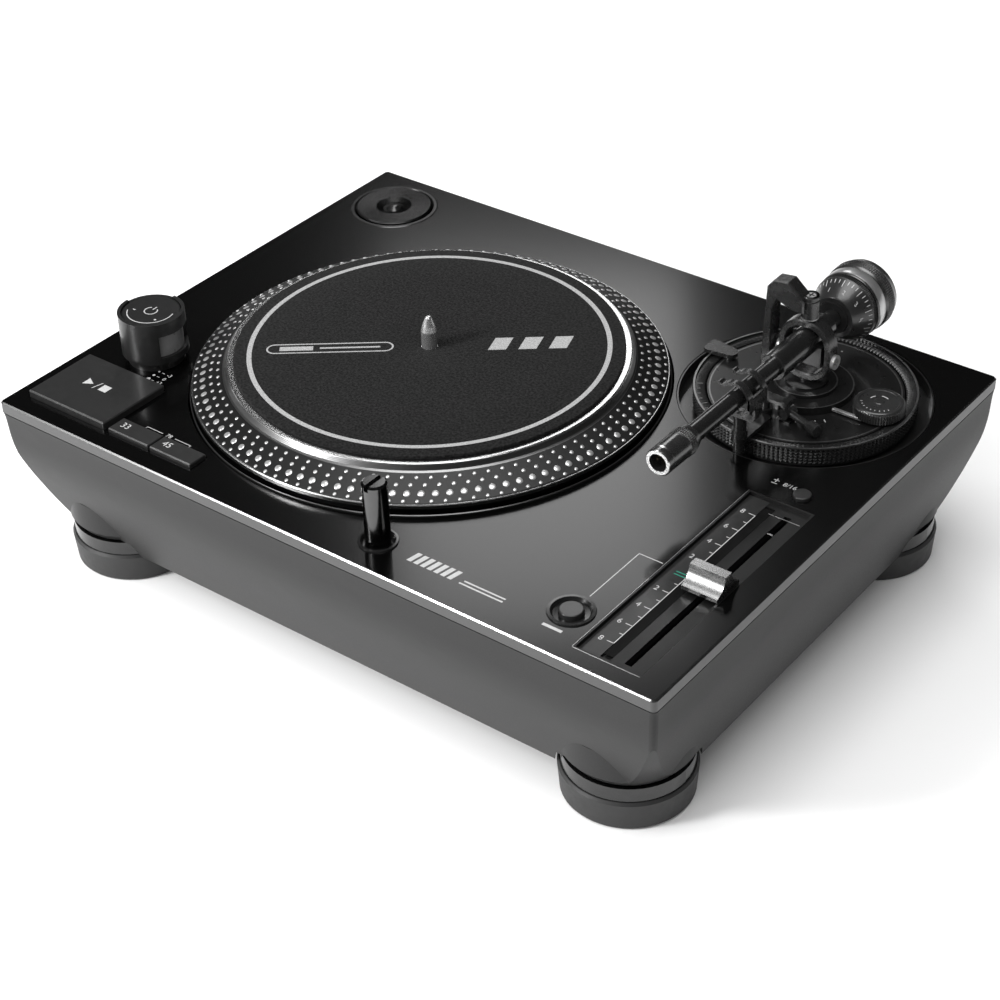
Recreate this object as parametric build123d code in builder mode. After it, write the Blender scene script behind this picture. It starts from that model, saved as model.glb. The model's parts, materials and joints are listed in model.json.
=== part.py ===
"""Compact direct-drive record player with a seven-inch platter and a straight tonearm.

Millimetres, +Z up. The origin is on the ground, under the centre of the deck.
X runs to the right along the front edge and Y runs to the back.
"""

from build123d import *
import os

# ---------------------------------------------------------------- driving dimensions
DECK_W = 353.0  # left to right
DECK_D = 271.0  # front to back
TOP = 86.5  # height of the deck's top face above the ground
RIM = 5.5  # height of the top plate's rim
SKIN = 3.0  # thickness of the top plate inside its rim
GROOVE = 0.7  # shadow gap between the top plate and the body
WALL = 3.0  # body wall
FLOOR_Z = TOP - 73.0  # underside of the body
TAPER_X = 14.0  # how far the body draws in at each side by its underside
TAPER_Y = 19.0  # the same at the front and the back

PLATTER_X, PLATTER_Y = -31.3, -7.8
PLATTER_R = 107.2
WELL_R = 109.2
MAT_R = 87.6
SHAFT_R = 5.0
PIN_R = 3.6  # the record's centre pin
FIT = 0.05  # radial clearance of a running fit

ARM_X, ARM_Y = 114.5, 73.5  # vertical axis of the tonearm
ARM_Z = TOP + 29.5  # axis of the arm tube
PIVOT_Z = TOP + 22.0  # horizontal axis of the tonearm
ARM_WELL_R = 56.5
TUBE_R = 4.2

FOOT_INSET = 36.6
FOOT_R = 28.0
FOOT_H = 14.6
FOOT_RING_R = 27.6
FOOT_RING_H = 7.0

TOWER_X, TOWER_Y = -144.75, -67.5
TOWER_R = 15.25
START_Y = -105.5
START_W, START_D = 48.5, 39.0
SPEED_X, SPEED_Y = -93.75, -119.5
SPEED_W, SPEED_D = 50.5, 11.0
LIGHT_X, LIGHT_Y = 29.7, -117.7
LIGHT_R = 5.4
RESET_X, RESET_Y = 120.0, -109.5
RANGE_X, RANGE_Y = 153.0, 7.0
RANGE_R = 4.0
FADER_X, FADER_Y = 148.25, -64.0
FADER_W, FADER_D = 31.5, 126.0
FADER_SLOT_X = 155.0
FADER_KNOB_Y = -65.5
ADAPTER_X, ADAPTER_Y = -147.5, 106.5
ADAPTER_R = 19.2

FEET = [
    (side * (DECK_W / 2 - FOOT_INSET), end * (DECK_D / 2 - FOOT_INSET))
    for end in (-1, 1)
    for side in (-1, 1)
]
FOOT_NAMES = ["front_left", "front_right", "back_left", "back_right"]

os.makedirs("parts", exist_ok=True)


# ---------------------------------------------------------------- helpers
def disc(x, y, low, high, radius, mode=Mode.ADD):
    """Upright cylinder between two heights."""
    with Locations((x, y, low)):
        Cylinder(radius, high - low, align=(Align.CENTER, Align.CENTER, Align.MIN), mode=mode)


def block(x, y, low, high, length, width, mode=Mode.ADD):
    """Upright box between two heights, centred on x, y."""
    with Locations((x, y, low)):
        Box(length, width, high - low, align=(Align.CENTER, Align.CENTER, Align.MIN), mode=mode)


def slab(x, y, low, high, length, width, corner, mode=Mode.ADD):
    """Upright box with rounded vertical corners."""
    with BuildSketch(Plane((x, y, low))) as outline:
        RectangleRounded(length, width, corner)
    extrude(outline.sketch, amount=high - low, mode=mode)


def turned_upright(x, y, points, mode=Mode.ADD):
    """Solid of revolution about an upright axis from (radius, height) points."""
    with BuildSketch(Plane(origin=(x, y, 0), x_dir=(1, 0, 0), z_dir=(0, -1, 0))) as outline:
        with BuildLine():
            Polyline(points, close=True)
        make_face()
    revolve(outline.sketch, axis=Axis((x, y, 0), (0, 0, 1)), mode=mode)


def turned_arm(points, z=ARM_Z, mode=Mode.ADD):
    """Solid of revolution about the arm's length from (radius, y) points."""
    with BuildSketch(Plane((ARM_X, 0, z))) as outline:
        with BuildLine():
            Polyline(points, close=True)
        make_face()
    revolve(outline.sketch, axis=Axis((ARM_X, 0, z), (0, 1, 0)), mode=mode)


def cross_rod(x0, x1, y, z, radius, mode=Mode.ADD):
    """Rod along X between two x positions."""
    with BuildSketch(Plane(origin=(x0, y, z), z_dir=(1, 0, 0))) as outline:
        Circle(radius)
    extrude(outline.sketch, amount=x1 - x0, mode=mode)


def depth_rod(x, y0, y1, z, radius, mode=Mode.ADD):
    """Rod along Y between two y positions."""
    with BuildSketch(Plane(origin=(x, y0, z), x_dir=(1, 0, 0), z_dir=(0, 1, 0))) as outline:
        Circle(radius)
    extrude(outline.sketch, amount=y1 - y0, mode=mode)


def save(part, name):
    part.label = name
    export_step(part, f"parts/{name}.step")


# ---------------------------------------------------------------- top plate
with BuildPart() as top_plate:
    slab(0, 0, TOP - RIM, TOP, DECK_W, DECK_D, 2.2)
    slab(0, 0, TOP - RIM, TOP - SKIN, DECK_W - 12, DECK_D - 12, 2.0, Mode.SUBTRACT)
    disc(PLATTER_X, PLATTER_Y, TOP - RIM, TOP, WELL_R, Mode.SUBTRACT)
    disc(ARM_X, ARM_Y, TOP - RIM, TOP, ARM_WELL_R, Mode.SUBTRACT)
    disc(ADAPTER_X, ADAPTER_Y, TOP - RIM, TOP, 22.4, Mode.SUBTRACT)
    slab(TOWER_X, START_Y, TOP - RIM, TOP, START_W, START_D, 1.0, Mode.SUBTRACT)
    slab(SPEED_X, SPEED_Y, TOP - RIM, TOP, SPEED_W, SPEED_D, 1.0, Mode.SUBTRACT)
    slab(FADER_X, FADER_Y, TOP - RIM, TOP, FADER_W, FADER_D, 0.8, Mode.SUBTRACT)
    disc(TOWER_X, TOWER_Y, TOP - RIM, TOP, 9.3, Mode.SUBTRACT)
    disc(LIGHT_X, LIGHT_Y, TOP - RIM, TOP, 7.5, Mode.SUBTRACT)
    disc(RESET_X, RESET_Y, TOP - RIM, TOP, 9.4, Mode.SUBTRACT)
    disc(RANGE_X, RANGE_Y, TOP - RIM, TOP, RANGE_R + 0.35, Mode.SUBTRACT)
    chamfer(top_plate.faces().sort_by(Axis.Z)[-1].outer_wire().edges(), 0.7)
save(top_plate.part, "top_plate")

# ---------------------------------------------------------------- body shell
# Share of the taper reached at each depth below the deck: upright at first, then a
# curve, then a straight slope down to the rounded lower edge.
HULL = [
    (RIM + GROOVE, 0.01),
    (16.0, 0.05),
    (26.0, 0.11),
    (36.0, 0.24),
    (48.0, 0.45),
    (60.0, 0.68),
    (73.0, 0.96),
]
HULL_CORNER = 2.5
PANEL_X, PANEL_Z = 0.0, TOP - 25.0  # centre of the socket panel in the back
PANEL_W, PANEL_H = 124.0, 27.0
COVER_W, COVER_D = DECK_W - 2 * 25.0, DECK_D - 2 * 30.0
COVER_T = 2.5
SCREW_R = 1.6
SCREW_SPOTS = [
    (side * (COVER_W / 2 - 4.0), y)
    for side in (-1, 1)
    for y in (-50.0, 0.0, 50.0)
] + [
    (x, end * (COVER_D / 2 - 4.0))
    for end in (-1, 1)
    for x in (-70.0, 0.0, 70.0)
]


def hull_section(depth, share, inset, lift=0.0):
    """One rounded rectangle of the hull, drawn in by its share of the taper."""
    width = DECK_W - 2 * (TAPER_X * share + inset)
    length = DECK_D - 2 * (TAPER_Y * share + inset)
    with BuildSketch(Plane.XY.offset(TOP - depth + lift)) as section:
        RectangleRounded(width, length, HULL_CORNER)
    return section.sketch


# Radius and height of the round boss that each corner of the hull runs into above its foot.
BOSS = [(25.6, TOP - 64.8), (37.6, TOP - 47.0), (49.2, TOP - 24.0)]
BOSS_SHOULDER = (28.6, TOP - 60.7)
BOSS_HIGH = TOP - 47.0


def corner_cut(x, y, inset):
    """What is taken off a corner of the hull around its foot, leaving the boss."""
    reach_x, reach_y = DECK_W / 2 - abs(x) + 5.0, DECK_D / 2 - abs(y) + 5.0
    out_x, out_y = (1 if x > 0 else -1), (1 if y > 0 else -1)
    low, high = FLOOR_Z - 5.0, BOSS[-1][1]
    points = [(radius - inset, height) for radius, height in BOSS]
    with BuildPart() as cut:
        block(x + out_x * reach_x / 2, y + out_y * reach_y / 2, low, high, reach_x, reach_y)
        upright = Plane(origin=(x, y, 0), x_dir=(1, 0, 0), z_dir=(0, -1, 0))
        with BuildSketch(upright) as dome:
            with BuildLine():
                ThreePointArc(*points)
                Polyline(points[-1], (0, high), (0, points[0][1]), points[0])
            make_face()
        revolve(dome.sketch, axis=Axis((x, y, 0), (0, 0, 1)), mode=Mode.SUBTRACT)
    return cut.part


with BuildPart() as cavity:
    inner = [hull_section(depth, share, WALL) for depth, share in reversed(HULL[:-1])]
    inner.insert(0, hull_section(68.0, 0.85, WALL))
    loft(inner)
    for x, y in FEET:
        add(corner_cut(x, y, WALL), mode=Mode.SUBTRACT)

with BuildPart() as body_shell:
    loft([hull_section(depth, share, 0.0) for depth, share in reversed(HULL)])
    edge_ring = body_shell.faces().sort_by(Axis.Z)[0].edges()
    fillet(edge_ring, 2.0)
    slab(0, 0, TOP - RIM - GROOVE, TOP - RIM, DECK_W - 5, DECK_D - 5, 2.0)
    for x, y in FEET:
        add(corner_cut(x, y, 0.0), mode=Mode.SUBTRACT)
    add(cavity.part, mode=Mode.SUBTRACT)
    slab(0, 0, TOP - 8.0, TOP - RIM, DECK_W - 8, DECK_D - 8, 2.0, Mode.SUBTRACT)
    for x, y in FEET:
        turned_upright(
            x,
            y,
            [(0, BOSS[0][1]), BOSS[0], BOSS_SHOULDER, (BOSS_SHOULDER[0], BOSS_HIGH), (0, BOSS_HIGH)],
        )
        disc(x, y, TOP - 58.0, BOSS_HIGH, BOSS[0][0] - WALL, Mode.SUBTRACT)
        disc(x, y, FLOOR_Z - 1.0, TOP - 64.8, FOOT_R + 1.5, Mode.SUBTRACT)
        disc(x, y, TOP - 65.0, TOP - 57.0, 3.3, Mode.SUBTRACT)
    slab(0, 0, FLOOR_Z, FLOOR_Z + COVER_T, COVER_W, COVER_D, 4.0, Mode.SUBTRACT)
    slab(0, 0, FLOOR_Z, FLOOR_Z + 6.0, COVER_W - 16, COVER_D - 16, 4.0, Mode.SUBTRACT)
    with Locations((PANEL_X, DECK_D / 2, PANEL_Z)):
        Box(PANEL_W, 24.0, PANEL_H, mode=Mode.SUBTRACT)
    for x, y in SCREW_SPOTS:
        disc(x, y, FLOOR_Z, FLOOR_Z + 7.5, SCREW_R, Mode.SUBTRACT)
save(body_shell.part, "body_shell")

# ---------------------------------------------------------------- bottom cover and screws
with BuildPart() as bottom_cover:
    slab(0, 0, FLOOR_Z, FLOOR_Z + COVER_T, COVER_W, COVER_D, 4.0)
    for x, y in FEET:
        disc(x, y, FLOOR_Z - 1, FLOOR_Z + 4, FOOT_R + 1.5, Mode.SUBTRACT)
    for x, y in SCREW_SPOTS:
        disc(x, y, FLOOR_Z - 1, FLOOR_Z + 4, SCREW_R, Mode.SUBTRACT)
    with BuildSketch(Plane.XY.offset(FLOOR_Z)) as vents:
        with GridLocations(60.0, 9.0, 2, 7):
            SlotOverall(40.0, 3.0)
    extrude(vents.sketch, amount=COVER_T, mode=Mode.SUBTRACT)
save(bottom_cover.part, "bottom_cover")

with BuildPart() as cover_screws:
    for x, y in SCREW_SPOTS:
        disc(x, y, FLOOR_Z - 1.4, FLOOR_Z, 3.2)
        disc(x, y, FLOOR_Z, FLOOR_Z + 7.0, SCREW_R)
        block(x, y, FLOOR_Z - 1.4, FLOOR_Z - 0.7, 3.6, 0.7, Mode.SUBTRACT)
        block(x, y, FLOOR_Z - 1.4, FLOOR_Z - 0.7, 0.7, 3.6, Mode.SUBTRACT)
save(cover_screws.part, "cover_screws")

# ---------------------------------------------------------------- feet
FOOT_PAD_PROFILE = [
    (0, 0),
    (FOOT_R - 1.0, 0),
    (FOOT_R, 1.2),
    (FOOT_R + 0.9, FOOT_H - 1.2),
    (FOOT_R, FOOT_H),
    (0, FOOT_H),
]
for name, (x, y) in zip(FOOT_NAMES, FEET):
    with BuildPart() as foot_pad:
        turned_upright(x, y, FOOT_PAD_PROFILE)
    save(foot_pad.part, f"foot_pad_{name}")

with BuildPart() as foot_rings:
    for x, y in FEET:
        disc(x, y, FOOT_H, FOOT_H + FOOT_RING_H, FOOT_RING_R)
        disc(x, y, FOOT_H + FOOT_RING_H, TOP - 55.0, 3.2)
save(foot_rings.part, "foot_rings")

# ---------------------------------------------------------------- platter well and motor
WELL_FLOOR = TOP - 9.0
with BuildPart() as platter_well:
    turned_upright(
        PLATTER_X,
        PLATTER_Y,
        [
            (9.2, WELL_FLOOR),
            (WELL_R - 1.0, WELL_FLOOR),
            (WELL_R - 1.0, TOP + 0.1),
            (WELL_R - 1.35, TOP + 0.35),
            (WELL_R - 1.7, TOP + 0.1),
            (WELL_R - 2.2, TOP - 1.6),
            (WELL_R - 2.8, WELL_FLOOR + 2.0),
            (9.2, WELL_FLOOR + 2.0),
        ],
    )
save(platter_well.part, "platter_well")

with BuildPart() as bearing_housing:
    turned_upright(
        PLATTER_X,
        PLATTER_Y,
        [
            (0, TOP - 49.0),
            (9.0, TOP - 49.0),
            (9.0, WELL_FLOOR - 3.5),
            (24.0, WELL_FLOOR - 3.5),
            (24.0, WELL_FLOOR),
            (9.0, WELL_FLOOR),
            (9.0, TOP + 0.5),
            (SHAFT_R + FIT, TOP + 0.5),
            (SHAFT_R + FIT, TOP - 45.6),
            (0, TOP - 45.6),
        ],
    )
save(bearing_housing.part, "bearing_housing")

STATOR_LOW, STATOR_HIGH = TOP - 4.0, TOP + 3.0
TEETH = 12
with BuildPart() as stator_core:
    disc(PLATTER_X, PLATTER_Y, WELL_FLOOR + 2.0, STATOR_HIGH, 15.0)
    with BuildSketch(Plane((PLATTER_X, PLATTER_Y, STATOR_LOW))) as teeth:
        with PolarLocations(0.0, TEETH):
            with Locations((25.0, 0)):
                Rectangle(26.0, 5.0)
            with Locations((37.0, 0)):
                Rectangle(3.0, 13.0)
    extrude(teeth.sketch, amount=STATOR_HIGH - STATOR_LOW)
    disc(PLATTER_X, PLATTER_Y, WELL_FLOOR, STATOR_HIGH + 1, 9.3, Mode.SUBTRACT)
save(stator_core.part, "stator_core")

with BuildPart() as stator_coils:
    with BuildSketch(Plane((PLATTER_X, PLATTER_Y, STATOR_LOW - 1.8))) as windings:
        with PolarLocations(0.0, TEETH):
            with Locations((28.5, 0)):
                Rectangle(12.0, 9.0)
    extrude(windings.sketch, amount=STATOR_HIGH - STATOR_LOW + 3.6)
    with BuildSketch(Plane((PLATTER_X, PLATTER_Y, STATOR_LOW))) as hollows:
        with PolarLocations(0.0, TEETH):
            with Locations((28.5, 0)):
                Rectangle(14.0, 5.0)
    extrude(hollows.sketch, amount=STATOR_HIGH - STATOR_LOW, mode=Mode.SUBTRACT)
save(stator_coils.part, "stator_coils")

# ---------------------------------------------------------------- platter, mat and spindle
PLATTER_TOP = TOP + 14.0
WEB = PLATTER_TOP - 3.5
HUB_LOW = TOP + 3.6
with BuildPart() as platter:
    turned_upright(
        PLATTER_X,
        PLATTER_Y,
        [
            (SHAFT_R, PLATTER_TOP),
            (90.0, PLATTER_TOP),
            (90.4, PLATTER_TOP - 0.3),
            (91.9, TOP + 11.4),
            (92.5, TOP + 11.0),
            (106.2, TOP + 5.0),
            (106.7, TOP + 4.6),
            (PLATTER_R - 0.3, TOP + 4.6),
            (PLATTER_R, TOP + 4.3),
            (PLATTER_R, TOP + 2.8),
            (PLATTER_R - 0.4, TOP + 2.4),
            (101.0, TOP + 2.4),
            (101.0, TOP - 4.0),
            (90.0, TOP - 4.0),
            (88.0, WEB),
            (12.0, WEB),
            (12.0, HUB_LOW),
            (SHAFT_R, HUB_LOW),
        ],
    )
save(platter.part, "platter")

MAT_TOP = PLATTER_TOP + 1.6
with BuildPart() as slipmat:
    disc(PLATTER_X, PLATTER_Y, PLATTER_TOP, MAT_TOP, MAT_R)
    disc(PLATTER_X, PLATTER_Y, PLATTER_TOP, MAT_TOP, SHAFT_R + 0.3, Mode.SUBTRACT)
save(slipmat.part, "slipmat")

with BuildPart() as spindle:
    turned_upright(
        PLATTER_X,
        PLATTER_Y,
        [
            (0, TOP - 45.3),
            (SHAFT_R - 1.0, TOP - 45.3),
            (SHAFT_R, TOP - 44.3),
            (SHAFT_R, MAT_TOP - 0.3),
            (PIN_R, MAT_TOP - 0.3),
            (PIN_R, MAT_TOP + 8.0),
            (2.9, MAT_TOP + 10.6),
            (1.5, MAT_TOP + 14.4),
            (0.8, MAT_TOP + 15.1),
            (0, MAT_TOP + 15.2),
        ],
    )
save(spindle.part, "spindle")

with BuildPart() as rotor_magnet:
    disc(PLATTER_X, PLATTER_Y, TOP - 2.0, WEB, 47.0)
    disc(PLATTER_X, PLATTER_Y, TOP - 2.0, WEB, 41.5, Mode.SUBTRACT)
save(rotor_magnet.part, "rotor_magnet")

# ---------------------------------------------------------------- buttons
BUTTON_LOW = TOP - 5.0
START_RISE, SPEED_RISE = 3.0, 1.8
with BuildPart() as start_stop_button:
    slab(TOWER_X, START_Y, BUTTON_LOW, TOP + START_RISE, START_W - 1.0, START_D - 1.0, 0.8)
    chamfer(start_stop_button.faces().sort_by(Axis.Z)[-1].edges(), 0.45)
save(start_stop_button.part, "start_stop_button")

SPEED_BUTTON_W = (SPEED_W - 1.8) / 2
for label, side in (("33", -1), ("45", 1)):
    with BuildPart() as speed_button:
        centre = SPEED_X + side * (SPEED_BUTTON_W / 2 + 0.4)
        slab(centre, SPEED_Y, BUTTON_LOW, TOP + SPEED_RISE, SPEED_BUTTON_W, SPEED_D - 1.0, 0.6)
        chamfer(speed_button.faces().sort_by(Axis.Z)[-1].edges(), 0.35)
    save(speed_button.part, f"speed_button_{label}")

with BuildPart() as reset_bezel:
    turned_upright(
        RESET_X,
        RESET_Y,
        [
            (5.3, TOP - 4.0),
            (9.3, TOP - 4.0),
            (9.3, TOP),
            (9.9, TOP),
            (9.7, TOP + 0.6),
            (8.4, TOP + 0.7),
            (7.4, TOP - 0.9),
            (5.3, TOP - 1.1),
        ],
    )
save(reset_bezel.part, "reset_bezel")

with BuildPart() as reset_button:
    disc(RESET_X, RESET_Y, BUTTON_LOW, TOP + 1.3, 5.0)
    fillet(reset_button.faces().sort_by(Axis.Z)[-1].edges(), 0.5)
save(reset_button.part, "reset_button")

with BuildPart() as range_button:
    disc(RANGE_X, RANGE_Y, BUTTON_LOW, TOP + 1.4, RANGE_R)
    fillet(range_button.faces().sort_by(Axis.Z)[-1].edges(), 0.6)
save(range_button.part, "range_button")

# ---------------------------------------------------------------- pitch fader
TRAY_Z = TOP - 1.8  # floor of the sunken fader panel
SLOT_LOW_Y, SLOT_HIGH_Y = -122.0, -7.0
SLOT_MID_Y = (SLOT_LOW_Y + SLOT_HIGH_Y) / 2
with BuildPart() as fader_plate:
    slab(FADER_X, FADER_Y, TRAY_Z - 1.5, TOP - 0.1, FADER_W - 0.2, FADER_D - 0.2, 0.8)
    slab(FADER_X, FADER_Y, TRAY_Z, TOP, FADER_W - 2.2, FADER_D - 2.2, 0.4, Mode.SUBTRACT)
    block(145.5, SLOT_MID_Y, TRAY_Z - 0.9, TOP, 5.0, 118.0, Mode.SUBTRACT)
    block(FADER_SLOT_X, SLOT_MID_Y, TRAY_Z - 2, TOP, 3.2, SLOT_HIGH_Y - SLOT_LOW_Y, Mode.SUBTRACT)
save(fader_plate.part, "fader_plate")

with BuildPart() as fader_body:
    block(FADER_SLOT_X, SLOT_MID_Y, TOP - 16.0, TRAY_Z - 1.5, 15.0, 124.0)
    block(FADER_SLOT_X, SLOT_MID_Y, TOP - 14.5, TRAY_Z - 3.0, 12.0, 119.0, Mode.SUBTRACT)
    block(FADER_SLOT_X, SLOT_MID_Y, TOP - 8.0, TRAY_Z, 3.2, SLOT_HIGH_Y - SLOT_LOW_Y, Mode.SUBTRACT)
save(fader_body.part, "fader_body")

with BuildPart() as fader_carriage:
    block(FADER_SLOT_X, FADER_KNOB_Y, TOP - 13.0, TOP - 7.0, 11.0, 12.0)
    block(FADER_SLOT_X, FADER_KNOB_Y, TOP - 7.0, TOP + 1.0, 2.2, 5.0)
save(fader_carriage.part, "fader_carriage")

KNOB_BASE, KNOB_PEAK = TOP + 0.2, TOP + 9.0
with BuildPart() as fader_knob:
    side_plane = Plane(origin=(FADER_SLOT_X - 8.3, FADER_KNOB_Y, 0), x_dir=(0, 1, 0), z_dir=(1, 0, 0))
    with BuildSketch(side_plane) as flank:
        with BuildLine():
            Line((-8.0, KNOB_BASE), (8.0, KNOB_BASE))
            Line((8.0, KNOB_BASE), (8.0, KNOB_BASE + 1.6))
            ThreePointArc((8.0, KNOB_BASE + 1.6), (4.0, KNOB_BASE + 4.2), (2.2, KNOB_PEAK))
            Line((2.2, KNOB_PEAK), (-2.2, KNOB_PEAK))
            ThreePointArc((-2.2, KNOB_PEAK), (-4.0, KNOB_BASE + 4.2), (-8.0, KNOB_BASE + 1.6))
            Line((-8.0, KNOB_BASE + 1.6), (-8.0, KNOB_BASE))
        make_face()
    extrude(flank.sketch, amount=16.6)
    block(FADER_SLOT_X, FADER_KNOB_Y, KNOB_BASE, TOP + 1.0, 2.2, 5.0, Mode.SUBTRACT)
save(fader_knob.part, "fader_knob")

# ---------------------------------------------------------------- power and strobe tower
SLEEVE_LOW, SLEEVE_HIGH = TOP + 4.4, TOP + 25.0
SLEEVE_BORE = TOWER_R - 1.6
LENS_LOW, LENS_HIGH = TOP + 7.2, TOP + 19.0
with BuildPart() as tower_pillar:
    disc(TOWER_X, TOWER_Y, TOP - 14.0, TOP, 9.0)
    disc(TOWER_X, TOWER_Y, TOP, SLEEVE_LOW - 0.2, 12.9)
    disc(TOWER_X, TOWER_Y, SLEEVE_LOW - 0.2, SLEEVE_HIGH - 0.7, SLEEVE_BORE - 0.3)
    chamfer(tower_pillar.faces().sort_by(Axis.Z)[-1].edges(), 0.3)
    with BuildSketch(Plane((TOWER_X, TOWER_Y, LENS_LOW))) as pocket:
        with Locations((14.0, 3.0)):
            Rectangle(10.0, 34.0)
    extrude(pocket.sketch, amount=LENS_HIGH - LENS_LOW, mode=Mode.SUBTRACT)
save(tower_pillar.part, "tower_pillar")

with BuildPart() as strobe_lens:
    disc(TOWER_X, TOWER_Y, LENS_LOW, LENS_HIGH, SLEEVE_BORE - 0.3)
    with BuildSketch(Plane((TOWER_X, TOWER_Y, LENS_LOW))) as keep_out:
        with Locations((-11.0, 0)):
            Rectangle(40.0, 40.0)
    extrude(keep_out.sketch, amount=LENS_HIGH - LENS_LOW, mode=Mode.SUBTRACT)
save(strobe_lens.part, "strobe_lens")

with BuildPart() as power_knob:
    disc(TOWER_X, TOWER_Y, SLEEVE_LOW, SLEEVE_HIGH, TOWER_R)
    disc(TOWER_X, TOWER_Y, SLEEVE_LOW, SLEEVE_HIGH, SLEEVE_BORE, Mode.SUBTRACT)
    # window towards the platter, and the gap in the rim at the back left
    with BuildSketch(Plane((TOWER_X, TOWER_Y, LENS_LOW + 0.4))) as window:
        with BuildLine():
            Polyline([(0, 0), (18.0, -12.5), (26.0, 6.0), (14.0, 24.0)], close=True)
        make_face()
    extrude(window.sketch, amount=LENS_HIGH - LENS_LOW - 0.8, mode=Mode.SUBTRACT)
    with BuildSketch(Plane((TOWER_X, TOWER_Y, SLEEVE_HIGH - 1.0))) as rim_gap:
        with BuildLine():
            Polyline([(0, 0), (-22.0, 0.0), (-22.0, 22.0), (0.0, 22.0)], close=True)
        make_face()
    extrude(rim_gap.sketch, amount=1.0, mode=Mode.SUBTRACT)
save(power_knob.part, "power_knob")

# ---------------------------------------------------------------- target light
LIGHT_HIGH = TOP + 29.5
with BuildPart() as light_bezel:
    turned_upright(
        LIGHT_X,
        LIGHT_Y,
        [
            (LIGHT_R + FIT, TOP - 22.0),
            (7.3, TOP - 22.0),
            (7.3, TOP),
            (8.5, TOP),
            (8.3, TOP + 0.7),
            (7.4, TOP + 0.8),
            (6.4, TOP - 0.8),
            (LIGHT_R + FIT, TOP - 1.0),
        ],
    )
save(light_bezel.part, "light_bezel")

with BuildPart() as target_light:
    disc(LIGHT_X, LIGHT_Y, TOP - 21.0, LIGHT_HIGH, LIGHT_R)
    chamfer(target_light.faces().sort_by(Axis.Z)[-1].edges(), 0.9)
    block(LIGHT_X, LIGHT_Y, LIGHT_HIGH - 2.4, LIGHT_HIGH, 2.2, 12.0, Mode.SUBTRACT)
save(target_light.part, "target_light")

# ---------------------------------------------------------------- adapter for large-hole records
with BuildPart() as adapter_well:
    turned_upright(
        ADAPTER_X,
        ADAPTER_Y,
        [
            (0, TOP - 8.5),
            (22.3, TOP - 8.5),
            (22.3, TOP - 0.1),
            (21.8, TOP + 0.3),
            (20.4, TOP + 0.3),
            (ADAPTER_R + 0.4, TOP - 0.6),
            (ADAPTER_R + 0.4, TOP - 7.0),
            (3.5, TOP - 7.0),
            (3.5, TOP - 0.8),
            (1.6, TOP + 0.9),
            (0, TOP + 1.0),
        ],
    )
save(adapter_well.part, "adapter_well")

with BuildPart() as adapter_45:
    turned_upright(
        ADAPTER_X,
        ADAPTER_Y,
        [
            (3.9, TOP - 6.6),
            (ADAPTER_R, TOP - 6.6),
            (ADAPTER_R, TOP + 0.4),
            (ADAPTER_R - 0.7, TOP + 1.1),
            (9.0, TOP + 1.0),
            (5.6, TOP - 0.6),
            (3.9, TOP - 0.9),
        ],
    )
save(adapter_45.part, "adapter_45")

# ---------------------------------------------------------------- tonearm base
PAN_FLOOR = TOP - 6.0
COLUMN_R = 14.0
RING_R = 49.5
RING_LOW, RING_HIGH = TOP - 4.0, TOP + 5.0
with BuildPart() as arm_pan:
    turned_upright(
        ARM_X,
        ARM_Y,
        [
            (COLUMN_R + FIT, TOP - 40.0),
            (18.0, TOP - 40.0),
            (18.0, PAN_FLOOR - 1.6),
            (ARM_WELL_R - 0.4, PAN_FLOOR - 1.6),
            (ARM_WELL_R - 0.4, TOP - 0.2),
            (ARM_WELL_R - 1.0, TOP - 0.2),
            (ARM_WELL_R - 1.1, PAN_FLOOR),
            (COLUMN_R + FIT, PAN_FLOOR),
        ],
    )
save(arm_pan.part, "arm_pan")

with BuildPart() as height_ring:
    turned_upright(
        ARM_X,
        ARM_Y,
        [
            (43.5, RING_LOW),
            (RING_R - 0.6, RING_LOW),
            (RING_R, RING_LOW + 0.6),
            (RING_R, RING_HIGH - 0.6),
            (RING_R - 0.6, RING_HIGH),
            (RING_R - 1.2, RING_HIGH - 0.2),
            (RING_R - 1.4, RING_HIGH - 1.1),
            (43.5, RING_HIGH - 1.1),
        ],
    )
save(height_ring.part, "height_ring")

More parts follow.
